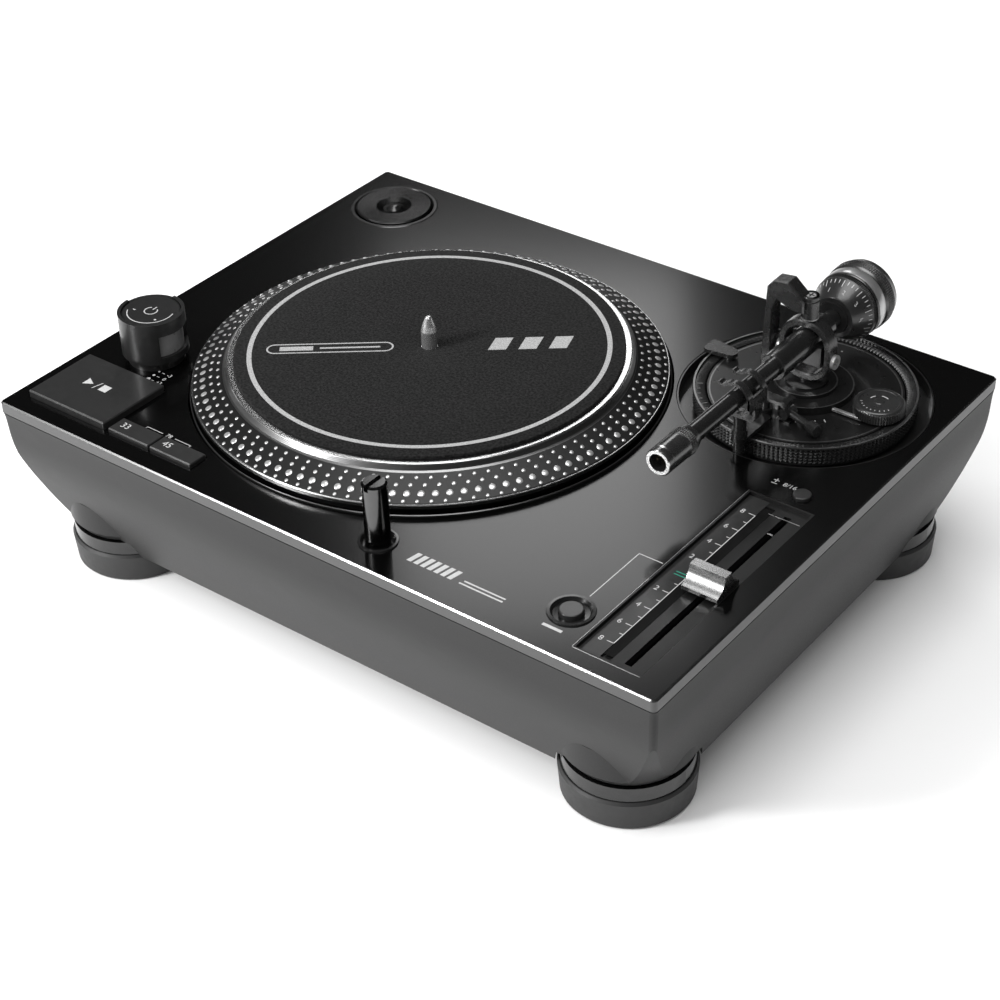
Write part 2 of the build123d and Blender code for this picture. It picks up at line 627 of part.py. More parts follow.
DISH_Z = TOP + 3.6  # top of the arm platform inside the ring
TURRET_Z = TOP + 7.0
SKATE_X, SKATE_Y = 150.5, 74.0
SKATE_Z = TOP + 4.3
SKATE_R = 11.5
REST_R = 52.6  # how far the arm rest stands from the arm's axis
REST_X, REST_Y = 113.5, ARM_Y - REST_R
TURRET_R = 21.6
CUE_X, CUE_Y, CUE_Z = 121.0, 48.4, TOP + 7.2
CUE_TIP_X, CUE_TIP_Y = 136.0, 43.5
LIFT_X, LIFT_Y = 112.0, 44.0
LIFT_R = 1.8
with BuildPart() as arm_platform:
    disc(ARM_X, ARM_Y, TOP - 36.0, TOP + 1.0, COLUMN_R)
    disc(ARM_X, ARM_Y, TOP + 1.0, DISH_Z, 43.1)
    turned_upright(
        ARM_X,
        ARM_Y,
        [
            (0, DISH_Z),
            (TURRET_R, DISH_Z),
            (TURRET_R - 0.4, TURRET_Z),
            (14.0, TURRET_Z),
            (14.0, TURRET_Z + 1.6),
            (9.5, TURRET_Z + 1.6),
            (9.5, TURRET_Z + 2.4),
            (0, TURRET_Z + 2.4),
        ],
    )
    # bed of the anti-skating dial
    slab(132.0, SKATE_Y, DISH_Z, SKATE_Z, 40.0, 18.0, 4.0)
    # lug that reaches over the height ring to the arm rest
    slab(REST_X, 29.5, RING_HIGH + 0.4, RING_HIGH + 2.4, 7.0, 24.0, 3.0)
    slab(REST_X, 37.5, DISH_Z, RING_HIGH + 2.4, 7.0, 8.0, 2.0)
    disc(REST_X, REST_Y, RING_HIGH, RING_HIGH + 3.0, 2.0, Mode.SUBTRACT)
    # pedestal of the cueing lever and guide of the lift
    block(CUE_X, CUE_Y, DISH_Z, CUE_Z - 2.7, 5.0, 7.0)
    disc(LIFT_X, LIFT_Y, DISH_Z, TOP + 9.0, 3.2)
    disc(LIFT_X, LIFT_Y, TOP + 1.2, TOP + 9.0, LIFT_R + FIT, Mode.SUBTRACT)
    disc(ARM_X, ARM_Y, TURRET_Z - 4.0, TURRET_Z + 3.0, 3.0 + FIT, Mode.SUBTRACT)
save(arm_platform.part, "arm_platform")

LEVER_X, LEVER_Y = 74.0, 76.0
with BuildPart() as lock_lever:
    disc(LEVER_X, LEVER_Y, RING_HIGH + 0.4, RING_HIGH + 2.2, 3.4)
    with BuildSketch(Plane((LEVER_X, LEVER_Y, RING_HIGH + 0.4))) as tab:
        with BuildLine():
            Polyline(
                [(0, -3.4), (-10.5, -4.6), (-12.0, -3.2), (-12.0, 3.6), (-10.5, 5.0), (0, 3.4)],
                close=True,
            )
        make_face()
    extrude(tab.sketch, amount=1.8)
    disc(LEVER_X, LEVER_Y, DISH_Z, RING_HIGH + 0.4, 2.4)
save(lock_lever.part, "lock_lever")

# ---------------------------------------------------------------- arm rest
CLIP_TOP = ARM_Z + 7.6
with BuildPart() as arm_rest_post:
    disc(REST_X, REST_Y, TOP - 3.4, RING_HIGH + 0.4, 2.5)
    disc(REST_X, REST_Y, RING_HIGH + 0.4, RING_HIGH + 2.4, 2.0)
    disc(REST_X, REST_Y, RING_HIGH + 2.4, TOP + 11.0, 3.4)
    disc(REST_X, REST_Y, TOP + 11.0, TOP + 17.0, 2.8)
    disc(REST_X, REST_Y, TOP + 17.0, TOP + 18.2, 3.2)
save(arm_rest_post.part, "arm_rest_post")

with BuildPart() as arm_clip:
    # upright plate beside the tube, on a foot that stands on the post
    block(REST_X + 3.2, REST_Y, TOP + 18.2, TOP + 19.8, 12.0, 6.0)
    block(REST_X + 8.4, REST_Y, TOP + 18.2, CLIP_TOP, 1.6, 6.0)
    # cradle under the tube and hook over it, open towards the platter
    for y in (REST_Y - 6.0, REST_Y + 5.0):
        block(REST_X + 8.4, (y + REST_Y) / 2, ARM_Z - 5.8, CLIP_TOP, 1.6, 8.0)
        cradle_plane = Plane(origin=(ARM_X, y - 1.5, ARM_Z), x_dir=(1, 0, 0), z_dir=(0, 1, 0))
        with BuildSketch(cradle_plane) as hook:
            Circle(8.2)
            Circle(6.6, mode=Mode.SUBTRACT)
            with Locations((-8.0, 0)):
                Rectangle(9.4, 9.2, mode=Mode.SUBTRACT)
        extrude(hook.sketch, amount=3.0)
save(arm_clip.part, "arm_clip")

# ---------------------------------------------------------------- cueing lever and lift
cue_reach = Vector(CUE_TIP_X - CUE_X, CUE_TIP_Y - CUE_Y, 0)
cue_axle = Vector(cue_reach.Y, -cue_reach.X, 0)
with BuildPart() as cue_lever:
    with BuildSketch(Plane(origin=(CUE_X, CUE_Y, CUE_Z), z_dir=cue_reach)) as rod:
        Circle(1.7)
    extrude(rod.sketch, amount=cue_reach.length - 2.0)
    tip_plane = Plane(origin=(CUE_X, CUE_Y, CUE_Z), z_dir=cue_reach).offset(cue_reach.length - 2.0)
    with BuildSketch(tip_plane) as tip:
        Circle(2.9)
    extrude(tip.sketch, amount=5.0)
    with BuildSketch(Plane(origin=(CUE_X, CUE_Y, CUE_Z), z_dir=cue_axle).offset(-3.0)) as hub:
        Circle(2.6)
    extrude(hub.sketch, amount=6.0)
save(cue_lever.part, "cue_lever")

with BuildPart() as cue_lift:
    disc(LIFT_X, LIFT_Y, TOP + 1.4, TOP + 14.0, LIFT_R)
    block(LIFT_X + 3.0, LIFT_Y, TOP + 14.0, TOP + 15.4, 19.0, 5.0)
    block(LIFT_X + 11.0, LIFT_Y, TOP + 14.0, TOP + 16.8, 3.0, 7.0)
save(cue_lift.part, "cue_lift")

# ---------------------------------------------------------------- gimbal
RING_HALF = 12.8
RING_FLOOR, RING_ROOF = TOP + 10.4, TOP + 39.3
GIMBAL_T = 7.0
with BuildPart() as gimbal_arch:
    arch_plane = Plane(origin=(ARM_X, ARM_Y - 1.5, 0), x_dir=(1, 0, 0), z_dir=(0, -1, 0))
    with BuildSketch(arch_plane.offset(-3.0)) as arch:
        with BuildLine():
            Polyline(
                [
                    (-20.4, TURRET_Z),
                    (-19.6, TOP + 30.0),
                    (-18.4, TOP + 52.4),
                    (-14.6, TOP + 56.4),
                    (-8.0, TOP + 57.2),
                    (-1.0, TOP + 51.0),
                    (0.0, TOP + 44.0),
                    (-7.0, TOP + 44.0),
                    (-13.6, TOP + 47.0),
                    (-15.4, TOP + 40.0),
                    (-15.4, TURRET_Z),
                ],
                close=True,
            )
        make_face()
    extrude(arch.sketch, amount=7.5)
    disc(ARM_X, ARM_Y, TOP + 40.0, TOP + 50.0, 3.9)
    disc(ARM_X, ARM_Y, TOP + 50.0, TOP + 51.3, 3.2)
    disc(ARM_X, ARM_Y, TOP + 40.0, TOP + 44.0, 2.0 + FIT, Mode.SUBTRACT)
    block(ARM_X, ARM_Y, TOP + 50.6, TOP + 51.3, 4.4, 0.8, Mode.SUBTRACT)
    block(ARM_X, ARM_Y, TOP + 50.6, TOP + 51.3, 0.8, 4.4, Mode.SUBTRACT)
save(gimbal_arch.part, "gimbal_arch")

with BuildPart() as gimbal_ring:
    ring_plane = Plane(origin=(ARM_X, ARM_Y + GIMBAL_T / 2, 0), x_dir=(1, 0, 0), z_dir=(0, -1, 0))
    with BuildSketch(ring_plane) as yoke:
        with Locations((0, (RING_FLOOR + RING_ROOF) / 2)):
            RectangleRounded(2 * RING_HALF, RING_ROOF - RING_FLOOR, 11.5)
            RectangleRounded(2 * RING_HALF - 6.4, RING_ROOF - RING_FLOOR - 6.0, 9.0, mode=Mode.SUBTRACT)
    extrude(yoke.sketch, amount=GIMBAL_T)
    disc(ARM_X, ARM_Y, TURRET_Z - 3.0, RING_FLOOR + 1.0, 3.0)
    disc(ARM_X, ARM_Y, RING_ROOF - 1.0, TOP + 43.4, 2.0)
    cross_rod(ARM_X - RING_HALF - 1, ARM_X + RING_HALF + 1, ARM_Y, PIVOT_Z, 1.6, Mode.SUBTRACT)
save(gimbal_ring.part, "gimbal_ring")

with BuildPart() as pivot_screws:
    for side in (-1, 1):
        cross_rod(ARM_X + side * 9.4, ARM_X + side * RING_HALF, ARM_Y, PIVOT_Z, 1.6)
        cross_rod(ARM_X + side * RING_HALF, ARM_X + side * 14.4, ARM_Y, PIVOT_Z, 3.3)
        with Locations((ARM_X + side * 14.2, ARM_Y, PIVOT_Z)):
            Box(1.2, 4.4, 0.8, mode=Mode.SUBTRACT)
            Box(1.2, 0.8, 4.4, mode=Mode.SUBTRACT)
save(pivot_screws.part, "pivot_screws")

# ---------------------------------------------------------------- tonearm
SLEEVE_R = 6.2
SLEEVE_Y0, SLEEVE_Y1 = 44.0, 84.0
with BuildPart() as arm_sleeve:
    turned_arm(
        [
            (TUBE_R, SLEEVE_Y0),
            (SLEEVE_R - 0.4, SLEEVE_Y0),
            (SLEEVE_R, SLEEVE_Y0 + 0.4),
            (SLEEVE_R, SLEEVE_Y1),
            (0, SLEEVE_Y1),
            (0, 52.0),
            (TUBE_R, 52.0),
        ]
    )
    with Locations((ARM_X, ARM_Y, PIVOT_Z + 2.0)):
        Box(17.4, 8.0, 9.6)
save(arm_sleeve.part, "arm_sleeve")

TUBE_FRONT = -31.0
with BuildPart() as arm_tube:
    depth_rod(ARM_X, TUBE_FRONT, 52.0, ARM_Z, TUBE_R)
    depth_rod(ARM_X, TUBE_FRONT, 51.0, ARM_Z, TUBE_R - 1.0, Mode.SUBTRACT)
save(arm_tube.part, "arm_tube")

SOCKET_FRONT, SOCKET_BACK = -42.8, -34.0
SOCKET_R = 4.05
with BuildPart() as headshell_collar:
    turned_arm(
        [
            (SOCKET_R, SOCKET_FRONT),
            (6.0, SOCKET_FRONT),
            (6.2, SOCKET_FRONT + 0.4),
            (6.2, -27.6),
            (6.5, -27.2),
            (6.5, -23.0),
            (6.0, -22.4),
            (5.4, -19.6),
            (TUBE_R + FIT, -19.6),
            (TUBE_R + FIT, SOCKET_BACK),
            (SOCKET_R, SOCKET_BACK),
        ]
    )
    block(ARM_X, SOCKET_FRONT + 2.0, ARM_Z + 3.0, ARM_Z + 6.4, 1.3, 4.2, Mode.SUBTRACT)
save(headshell_collar.part, "headshell_collar")

with BuildPart() as connector_pins:
    depth_rod(ARM_X, TUBE_FRONT, TUBE_FRONT + 6.0, ARM_Z, TUBE_R - 1.0)
    for dx in (-1.3, 1.3):
        for dz in (-1.3, 1.3):
            depth_rod(ARM_X + dx, TUBE_FRONT - 2.4, TUBE_FRONT, ARM_Z + dz, 0.55)
save(connector_pins.part, "connector_pins")

STUB_R = 4.5
STUB_END = 122.0
with BuildPart() as rear_stub:
    turned_arm(
        [
            (0, SLEEVE_Y1),
            (6.0, SLEEVE_Y1),
            (6.0, 86.6),
            (STUB_R, 87.4),
            (STUB_R, STUB_END - 0.6),
            (STUB_R - 0.6, STUB_END),
            (0, STUB_END),
        ]
    )
save(rear_stub.part, "rear_stub")

with BuildPart() as weight_bush:
    turned_arm(
        [
            (STUB_R + FIT, 93.6),
            (7.4, 93.6),
            (7.4, 115.0),
            (STUB_R + FIT, 115.0),
        ]
    )
save(weight_bush.part, "weight_bush")

with BuildPart() as weight_dial:
    turned_arm(
        [
            (7.45, 94.4),
            (9.6, 94.4),
            (10.2, 95.0),
            (15.0, 103.4),
            (15.4, 103.8),
            (15.4, 106.2),
            (15.0, 106.6),
            (7.45, 106.6),
        ]
    )
save(weight_dial.part, "weight_dial")

with BuildPart() as counterweight:
    turned_arm(
        [
            (7.45, 106.9),
            (15.4, 106.9),
            (15.7, 107.3),
            (15.9, 113.6),
            (16.3, 114.2),
            (16.6, 115.0),
            (16.4, 119.0),
            (15.4, 123.2),
            (14.6, 124.0),
            (12.4, 124.0),
            (11.8, 122.6),
            (5.2, 122.6),
            (5.2, 115.0),
            (7.45, 115.0),
        ]
    )
save(counterweight.part, "counterweight")

# ---------------------------------------------------------------- anti-skating dial
with BuildPart() as anti_skate_knob:
    turned_upright(
        SKATE_X,
        SKATE_Y,
        [
            (0, SKATE_Z + 0.2),
            (SKATE_R - 0.5, SKATE_Z + 0.2),
            (SKATE_R, SKATE_Z + 0.7),
            (SKATE_R, SKATE_Z + 5.2),
            (SKATE_R - 0.6, SKATE_Z + 6.0),
            (SKATE_R - 1.4, SKATE_Z + 6.0),
            (SKATE_R - 1.8, SKATE_Z + 5.6),
            (0, SKATE_Z + 5.6),
        ],
    )
save(anti_skate_knob.part, "anti_skate_knob")

# ---------------------------------------------------------------- sockets at the back
PANEL_Y = DECK_D / 2 - 10.5
JACKS = [(-44.0, PANEL_Z), (-26.0, PANEL_Z)]
GROUND_X = -6.0
INLET_X = 38.0
with BuildPart() as rear_panel:
    with Locations((PANEL_X, PANEL_Y, PANEL_Z)):
        Box(PANEL_W + 10, 2.0, PANEL_H + 4)
    for x, z in JACKS:
        depth_rod(x, PANEL_Y - 2, PANEL_Y + 2, z, 4.6, Mode.SUBTRACT)
    depth_rod(GROUND_X, PANEL_Y - 2, PANEL_Y + 2, PANEL_Z, 2.1, Mode.SUBTRACT)
    with Locations((INLET_X, PANEL_Y, PANEL_Z)):
        Box(27.4, 4.0, 19.4, mode=Mode.SUBTRACT)
save(rear_panel.part, "rear_panel")

with BuildPart() as phono_jacks:
    for x, z in JACKS:
        depth_rod(x, PANEL_Y - 9, PANEL_Y + 9, z, 4.1)
        depth_rod(x, PANEL_Y + 1, PANEL_Y + 3, z, 6.0)
        depth_rod(x, PANEL_Y - 7, PANEL_Y + 9, z, 1.65, Mode.SUBTRACT)
save(phono_jacks.part, "phono_jacks")

with BuildPart() as ground_screw:
    depth_rod(GROUND_X, PANEL_Y - 8, PANEL_Y + 1, PANEL_Z, 2.0)
    depth_rod(GROUND_X, PANEL_Y + 1, PANEL_Y + 8, PANEL_Z, 4.6)
save(ground_screw.part, "ground_screw")

with BuildPart() as mains_inlet:
    with Locations((INLET_X, PANEL_Y - 5.0, PANEL_Z)):
        Box(27.0, 18.0, 19.0)
    with Locations((INLET_X, PANEL_Y - 1.0, PANEL_Z)):
        Box(24.0, 14.0, 16.0, mode=Mode.SUBTRACT)
    for x, z in ((-6.0, -1.6), (0.0, 2.4), (6.0, -1.6)):
        with Locations((INLET_X + x, PANEL_Y - 5.0, PANEL_Z + z)):
            Box(1.8, 6.4, 4.0)
save(mains_inlet.part, "mains_inlet")

# ---------------------------------------------------------------- electronics
BOARD_Z = FLOOR_Z + COVER_T + 8.0
with BuildPart() as power_supply:
    slab(70.0, 66.0, BOARD_Z, BOARD_Z + 1.6, 84.0, 56.0, 1.5)
    block(56.0, 66.0, BOARD_Z + 1.6, BOARD_Z + 26.0, 34.0, 40.0)
    for x in (86.0, 98.0):
        disc(x, 72.0, BOARD_Z + 1.6, BOARD_Z + 18.0, 5.0)
    for x in (32.0, 108.0):
        for y in (42.0, 90.0):
            disc(x, y, FLOOR_Z + COVER_T, BOARD_Z, 2.6)
save(power_supply.part, "power_supply")

with BuildPart() as main_board:
    slab(-50.0, -64.0, BOARD_Z, BOARD_Z + 1.6, 120.0, 54.0, 1.5)
    for x, y, size in ((-80.0, -64.0, 14.0), (-50.0, -56.0, 10.0), (-20.0, -68.0, 12.0)):
        block(x, y, BOARD_Z + 1.6, BOARD_Z + 3.2, size, size)
    for x in (-106.0, 6.0):
        for y in (-87.0, -41.0):
            disc(x, y, FLOOR_Z + COVER_T, BOARD_Z, 2.6)
save(main_board.part, "main_board")
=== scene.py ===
"""Studio view of a compact direct-drive record player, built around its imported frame.

Lengths are in millimetres in the deck's own frame until they are placed: X to the right, Y to the
back, Z up from the top face of the deck.
"""

import json
import math

import bmesh
import bpy
from mathutils import Matrix, Vector


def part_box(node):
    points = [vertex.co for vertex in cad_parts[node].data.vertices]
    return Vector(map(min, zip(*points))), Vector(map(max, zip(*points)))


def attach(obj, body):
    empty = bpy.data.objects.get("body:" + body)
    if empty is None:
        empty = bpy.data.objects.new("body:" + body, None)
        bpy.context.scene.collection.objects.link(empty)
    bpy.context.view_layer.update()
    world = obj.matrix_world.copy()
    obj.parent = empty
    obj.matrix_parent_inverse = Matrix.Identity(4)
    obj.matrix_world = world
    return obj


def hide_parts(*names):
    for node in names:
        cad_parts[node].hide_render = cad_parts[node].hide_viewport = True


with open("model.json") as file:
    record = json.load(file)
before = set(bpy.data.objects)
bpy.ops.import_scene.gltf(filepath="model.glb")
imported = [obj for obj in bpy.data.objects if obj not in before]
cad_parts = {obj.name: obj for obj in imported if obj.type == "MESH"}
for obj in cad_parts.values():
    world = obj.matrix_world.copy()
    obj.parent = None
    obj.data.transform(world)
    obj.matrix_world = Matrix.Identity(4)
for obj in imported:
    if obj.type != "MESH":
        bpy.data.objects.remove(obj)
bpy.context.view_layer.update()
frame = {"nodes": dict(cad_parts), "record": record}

MM = 0.001
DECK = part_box("top_plate")
TOP = DECK[1].z  # the deck's top face, in metres


def span(node):
    """Lowest and highest corner of a node, in millimetres from the deck's top face."""
    return [(corner - Vector((0, 0, TOP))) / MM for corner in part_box(node)]


def middle(node):
    low, high = span(node)
    return (low + high) / 2


def metres(point):
    return Vector(point) * MM + Vector((0, 0, TOP))


# ---------------------------------------------------------------- materials
def new_material(name):
    material = bpy.data.materials.new(name)
    material.use_nodes = True
    nodes = material.node_tree.nodes
    return material, nodes, material.node_tree.links, nodes["Principled BSDF"]


def noise_node(nodes, links, scale, detail=3.0):
    place = nodes.new("ShaderNodeTexCoord")
    noise = nodes.new("ShaderNodeTexNoise")
    noise.inputs["Scale"].default_value = scale
    noise.inputs["Detail"].default_value = detail
    links.new(place.outputs["Object"], noise.inputs["Vector"])
    return noise.outputs["Fac"]


def ramp_node(nodes, links, source, low, high, dark, light):
    ramp = nodes.new("ShaderNodeValToRGB")
    first, last = ramp.color_ramp.elements
    first.position, last.position = low, high
    first.color = (*dark, 1)
    last.color = (*light, 1)
    links.new(source, ramp.inputs["Fac"])
    return ramp.outputs["Color"]


def range_node(nodes, links, source, low, high):
    spread = nodes.new("ShaderNodeMapRange")
    spread.inputs["From Min"].default_value = 0.3
    spread.inputs["From Max"].default_value = 0.7
    spread.inputs["To Min"].default_value = low
    spread.inputs["To Max"].default_value = high
    links.new(source, spread.inputs["Value"])
    return spread.outputs["Result"]


def bump_node(nodes, links, shader, source, depth_mm, strength=1.0):
    bump = nodes.new("ShaderNodeBump")
    bump.inputs["Strength"].default_value = strength
    bump.inputs["Distance"].default_value = depth_mm * MM
    links.new(source, bump.inputs["Height"])
    links.new(bump.outputs["Normal"], shader.inputs["Normal"])


def grey(value, tint=0.0):
    """A neutral colour, a touch bluer as tint grows."""
    return (value, value * (1 + tint * 0.5), value * (1 + tint))


def finish_material(name, tone, rough, metal=0.0, scale=300.0, spread=0.06, grain=(5000.0, 0.0005), coat=0.0,
                    coat_rough=0.1, tint=0.0, sheen=0.0, specular=0.5, anisotropic=0.0, colour=None):
    """Paint, plastic or metal: a tone that varies a little, uneven roughness and a fine grain."""
    material, nodes, links, shader = new_material(name)
    base = colour or grey(tone, tint)
    dark = [channel * (1 - spread) for channel in base]
    light = [min(1.0, channel * (1 + spread)) for channel in base]
    patches = noise_node(nodes, links, scale)
    links.new(ramp_node(nodes, links, patches, 0.3, 0.7, dark, light), shader.inputs["Base Color"])
    links.new(range_node(nodes, links, patches, rough * 0.9, rough * 1.1), shader.inputs["Roughness"])
    bump_node(nodes, links, shader, noise_node(nodes, links, grain[0], 2.0), grain[1])
    shader.inputs["Metallic"].default_value = metal
    shader.inputs["Coat Weight"].default_value = coat
    shader.inputs["Coat Roughness"].default_value = coat_rough
    shader.inputs["Specular IOR Level"].default_value = specular
    if sheen:
        shader.inputs["Sheen Weight"].default_value = sheen
        shader.inputs["Sheen Roughness"].default_value = 0.6
    if anisotropic:
        shader.inputs["Anisotropic"].default_value = anisotropic
        tangent = nodes.new("ShaderNodeTangent")
        tangent.direction_type = "RADIAL"
        tangent.axis = "Z"
        links.new(tangent.outputs["Tangent"], shader.inputs["Tangent"])
    return material


def radius_from(nodes, links, x, y):
    """Distance from an upright axis through x, y, in metres."""
    place = nodes.new("ShaderNodeTexCoord")
    shift = nodes.new("ShaderNodeVectorMath")
    shift.operation = "SUBTRACT"
    shift.inputs[1].default_value = (x * MM, y * MM, 0)
    flat = nodes.new("ShaderNodeVectorMath")
    flat.operation = "MULTIPLY"
    flat.inputs[1].default_value = (1, 1, 0)
    length = nodes.new("ShaderNodeVectorMath")
    length.operation = "LENGTH"
    links.new(place.outputs["Object"], shift.inputs[0])
    links.new(shift.outputs["Vector"], flat.inputs[0])
    links.new(flat.outputs["Vector"], length.inputs[0])
    return length.outputs["Value"]


def turned_material(name, x, y, bands, rough, pitch=0.35, depth=0.004, anisotropic=0.6):
    """Lathe-turned metal about an upright axis: bands are (outer radius in mm, tone, metallic)."""
    material, nodes, links, shader = new_material(name)
    radius = radius_from(nodes, links, x, y)
    outer = bands[-1][0] * MM
    share = nodes.new("ShaderNodeMath")
    share.operation = "DIVIDE"
    share.inputs[1].default_value = outer
    links.new(radius, share.inputs[0])
    for socket, column in (("Base Color", 1), ("Metallic", 2), ("Roughness", 3)):
        ramp = nodes.new("ShaderNodeValToRGB")
        ramp.color_ramp.interpolation = "CONSTANT"
        elements = ramp.color_ramp.elements
        while len(elements) > 1:
            elements.remove(elements[-1])
        elements[0].position = 0.0
        elements[0].color = (*grey(bands[0][column]), 1)
        for inner, band in zip(bands, bands[1:]):
            element = elements.new(inner[0] * MM / outer)
            element.color = (*grey(band[column]), 1)
        links.new(share.outputs["Value"], ramp.inputs["Fac"])
        links.new(ramp.outputs["Color"], shader.inputs[socket])
    waves = nodes.new("ShaderNodeMath")
    waves.operation = "MULTIPLY"
    waves.inputs[1].default_value = 2 * math.pi / (pitch * MM)
    rings = nodes.new("ShaderNodeMath")
    rings.operation = "SINE"
    links.new(radius, waves.inputs[0])
    links.new(waves.outputs["Value"], rings.inputs[0])
    bump_node(nodes, links, shader, rings.outputs["Value"], depth)
    if anisotropic:
        shader.inputs["Anisotropic"].default_value = anisotropic
        tangent = nodes.new("ShaderNodeTangent")
        tangent.direction_type = "RADIAL"
        tangent.axis = "Z"
        links.new(tangent.outputs["Tangent"], shader.inputs["Tangent"])
    return material


def deck_material(name, levels):
    """Painted top plate. levels are (height in mm, tone, metallic, roughness), from the rim up to the top face."""
    material, nodes, links, shader = new_material(name)
    place = nodes.new("ShaderNodeTexCoord")
    split = nodes.new("ShaderNodeSeparateXYZ")
    links.new(place.outputs["Object"], split.inputs["Vector"])
    height = nodes.new("ShaderNodeMapRange")
    height.inputs["From Min"].default_value = TOP - 8 * MM
    height.inputs["From Max"].default_value = TOP + 2 * MM
    links.new(split.outputs["Z"], height.inputs["Value"])
    for socket, column in (("Base Color", 1), ("Metallic", 2), ("Roughness", 3)):
        ramp = nodes.new("ShaderNodeValToRGB")
        ramp.color_ramp.interpolation = "CONSTANT"
        elements = ramp.color_ramp.elements
        while len(elements) > 1:
            elements.remove(elements[-1])
        elements[0].position = 0.0
        elements[0].color = (*grey(levels[0][column]), 1)
        for level in levels[1:]:
            element = elements.new((level[0] + 8) / 10)
            element.color = (*grey(level[column]), 1)
        links.new(height.outputs["Result"], ramp.inputs["Fac"])
        links.new(ramp.outputs["Color"], shader.inputs[socket])
    bump_node(nodes, links, shader, noise_node(nodes, links, 6000.0, 2.0), 0.0008)
    shader.inputs["Specular IOR Level"].default_value = 0.3
    shader.inputs["Coat Weight"].default_value = 0.4
    shader.inputs["Coat Roughness"].default_value = 0.13
    return material


def felt_material(name):
    """Dense dark felt: fibre clumps at two scales and a soft sheen."""
    material, nodes, links, shader = new_material(name)
    clumps = noise_node(nodes, links, 900.0, 6.0)
    links.new(ramp_node(nodes, links, clumps, 0.36, 0.68, grey(0.002), grey(0.015)), shader.inputs["Base Color"])
    shader.inputs["Roughness"].default_value = 0.95
    shader.inputs["Specular IOR Level"].default_value = 0.15
    shader.inputs["Sheen Weight"].default_value = 0.04
    shader.inputs["Sheen Roughness"].default_value = 0.5
    bump_node(nodes, links, shader, noise_node(nodes, links, 1800.0, 5.0), 0.25, 0.7)
    return material


platter_at = middle("platter")
adapter_at = middle("adapter_45")
arm_at = Vector(((span("arm_tube")[0].x + span("arm_tube")[1].x) / 2, middle("gimbal_ring").y, 0))
ARM_Z = middle("arm_tube").z

PAINT = dict(scale=1600.0, spread=0.07, grain=(5000.0, 0.002))
MATERIALS = {
    # deck_paint: the bright metal band on the edge chamfer, from 0.66 to 0.08 mm below the top face, is a painted
    # highlight for the glint along the deck's top edge
    "deck_paint": deck_material("deck_paint", [(-8.0, 0.052, 0.1, 0.34), (-0.66, 0.32, 1.0, 0.24), (-0.08, 0.013, 0.92, 0.21)]),
    "body_paint": finish_material("body_paint", 0.036, 0.36, metal=0.08, coat=0.04, coat_rough=0.2, specular=0.08, **PAINT),
    "black_plastic": finish_material("black_plastic", 0.012, 0.42, grain=(1500.0, 0.02)),
    "board_resin": finish_material("board_resin", 0.05, 0.4, colour=(0.02, 0.09, 0.04)),
    "screw_steel": finish_material("screw_steel", 0.18, 0.35, metal=1.0),
    "foot_rubber": finish_material("foot_rubber", 0.022, 0.55, grain=(1800.0, 0.02)),
    "foot_ring_metal": finish_material("foot_ring_metal", 0.05, 0.2, metal=1.0, coat=0.4),
    "bezel_metal": finish_material("bezel_metal", 0.06, 0.22, metal=0.85),
    "spindle_chrome": finish_material("spindle_chrome", 0.7, 0.28, metal=0.9, spread=0.04),
    "magnet_ferrite": finish_material("magnet_ferrite", 0.03, 0.6),
    "stator_steel": finish_material("stator_steel", 0.3, 0.35, metal=1.0),
    "coil_copper": finish_material("coil_copper", 0.3, 0.3, metal=1.0, colour=(0.55, 0.22, 0.09)),
    "button_metal": finish_material("button_metal", 0.035, 0.33, metal=0.5, coat=0.3, coat_rough=0.15),
    "fader_plate_paint": finish_material("fader_plate_paint", 0.010, 0.34, metal=0.4),
    "knob_silver": finish_material("knob_silver", 0.40, 0.27, metal=1.0, scale=2500.0, spread=0.02,
                                   grain=(6000.0, 0.0004)),
    "tower_black": finish_material("tower_black", 0.030, 0.34, metal=0.6, coat=0.2),
    "lens_smoke": finish_material("lens_smoke", 0.16, 0.3, coat=0.5, spread=0.06),
    "light_tube_metal": finish_material("light_tube_metal", 0.10, 0.16, metal=1.0),
    "arm_base_paint": finish_material("arm_base_paint", 0.012, 0.3, metal=0.4, coat=0.4),
    "gimbal_metal": finish_material("gimbal_metal", 0.075, 0.27, metal=0.85),
    "arm_metal": finish_material("arm_metal", 0.06, 0.24, metal=0.85, coat=0.3),
    "collar_metal": finish_material("collar_metal", 0.13, 0.24, metal=0.9),
    "contact_gold": finish_material("contact_gold", 0.5, 0.25, metal=1.0, colour=(0.5, 0.42, 0.26)),
    "weight_metal": finish_material("weight_metal", 0.11, 0.28, metal=0.9),
    "dial_black": finish_material("dial_black", 0.055, 0.3, metal=0.7, coat=0.2),
    "jack_metal": finish_material("jack_metal", 0.5, 0.25, metal=1.0),
    "slipmat_felt": felt_material("slipmat_felt"),
    "height_ring_metal": finish_material("height_ring_metal", 0.09, 0.24, metal=0.9),
    "platter_aluminium": turned_material(
        "platter_aluminium", platter_at.x, platter_at.y,
        [(86.0, 0.4, 1.0, 0.3), (90.45, 0.62, 1.0, 0.24), (92.4, 0.22, 1.0, 0.3), (106.25, 0.006, 0.2, 0.4),
         (110.0, 0.45, 1.0, 0.25)],
        0.25, anisotropic=0.5),
    "adapter_metal": turned_material(
        "adapter_metal", adapter_at.x, adapter_at.y, [(6.0, 0.015, 1.0, 0.25), (22.0, 0.04, 1.0, 0.24)], 0.24,
        pitch=0.5, depth=0.012, anisotropic=0.9),
    "well_paint": turned_material(
        "well_paint", platter_at.x, platter_at.y,
        [(107.35, 0.006, 0.2, 0.4), (112.0, 0.12, 0.9, 0.25)], 0.3, anisotropic=0.0),
}
INK = finish_material("ink_grey", 0.42, 0.5, grain=(3000.0, 0.002))
INK_PALE = finish_material("ink_pale", 0.6, 0.5, grain=(3000.0, 0.002))
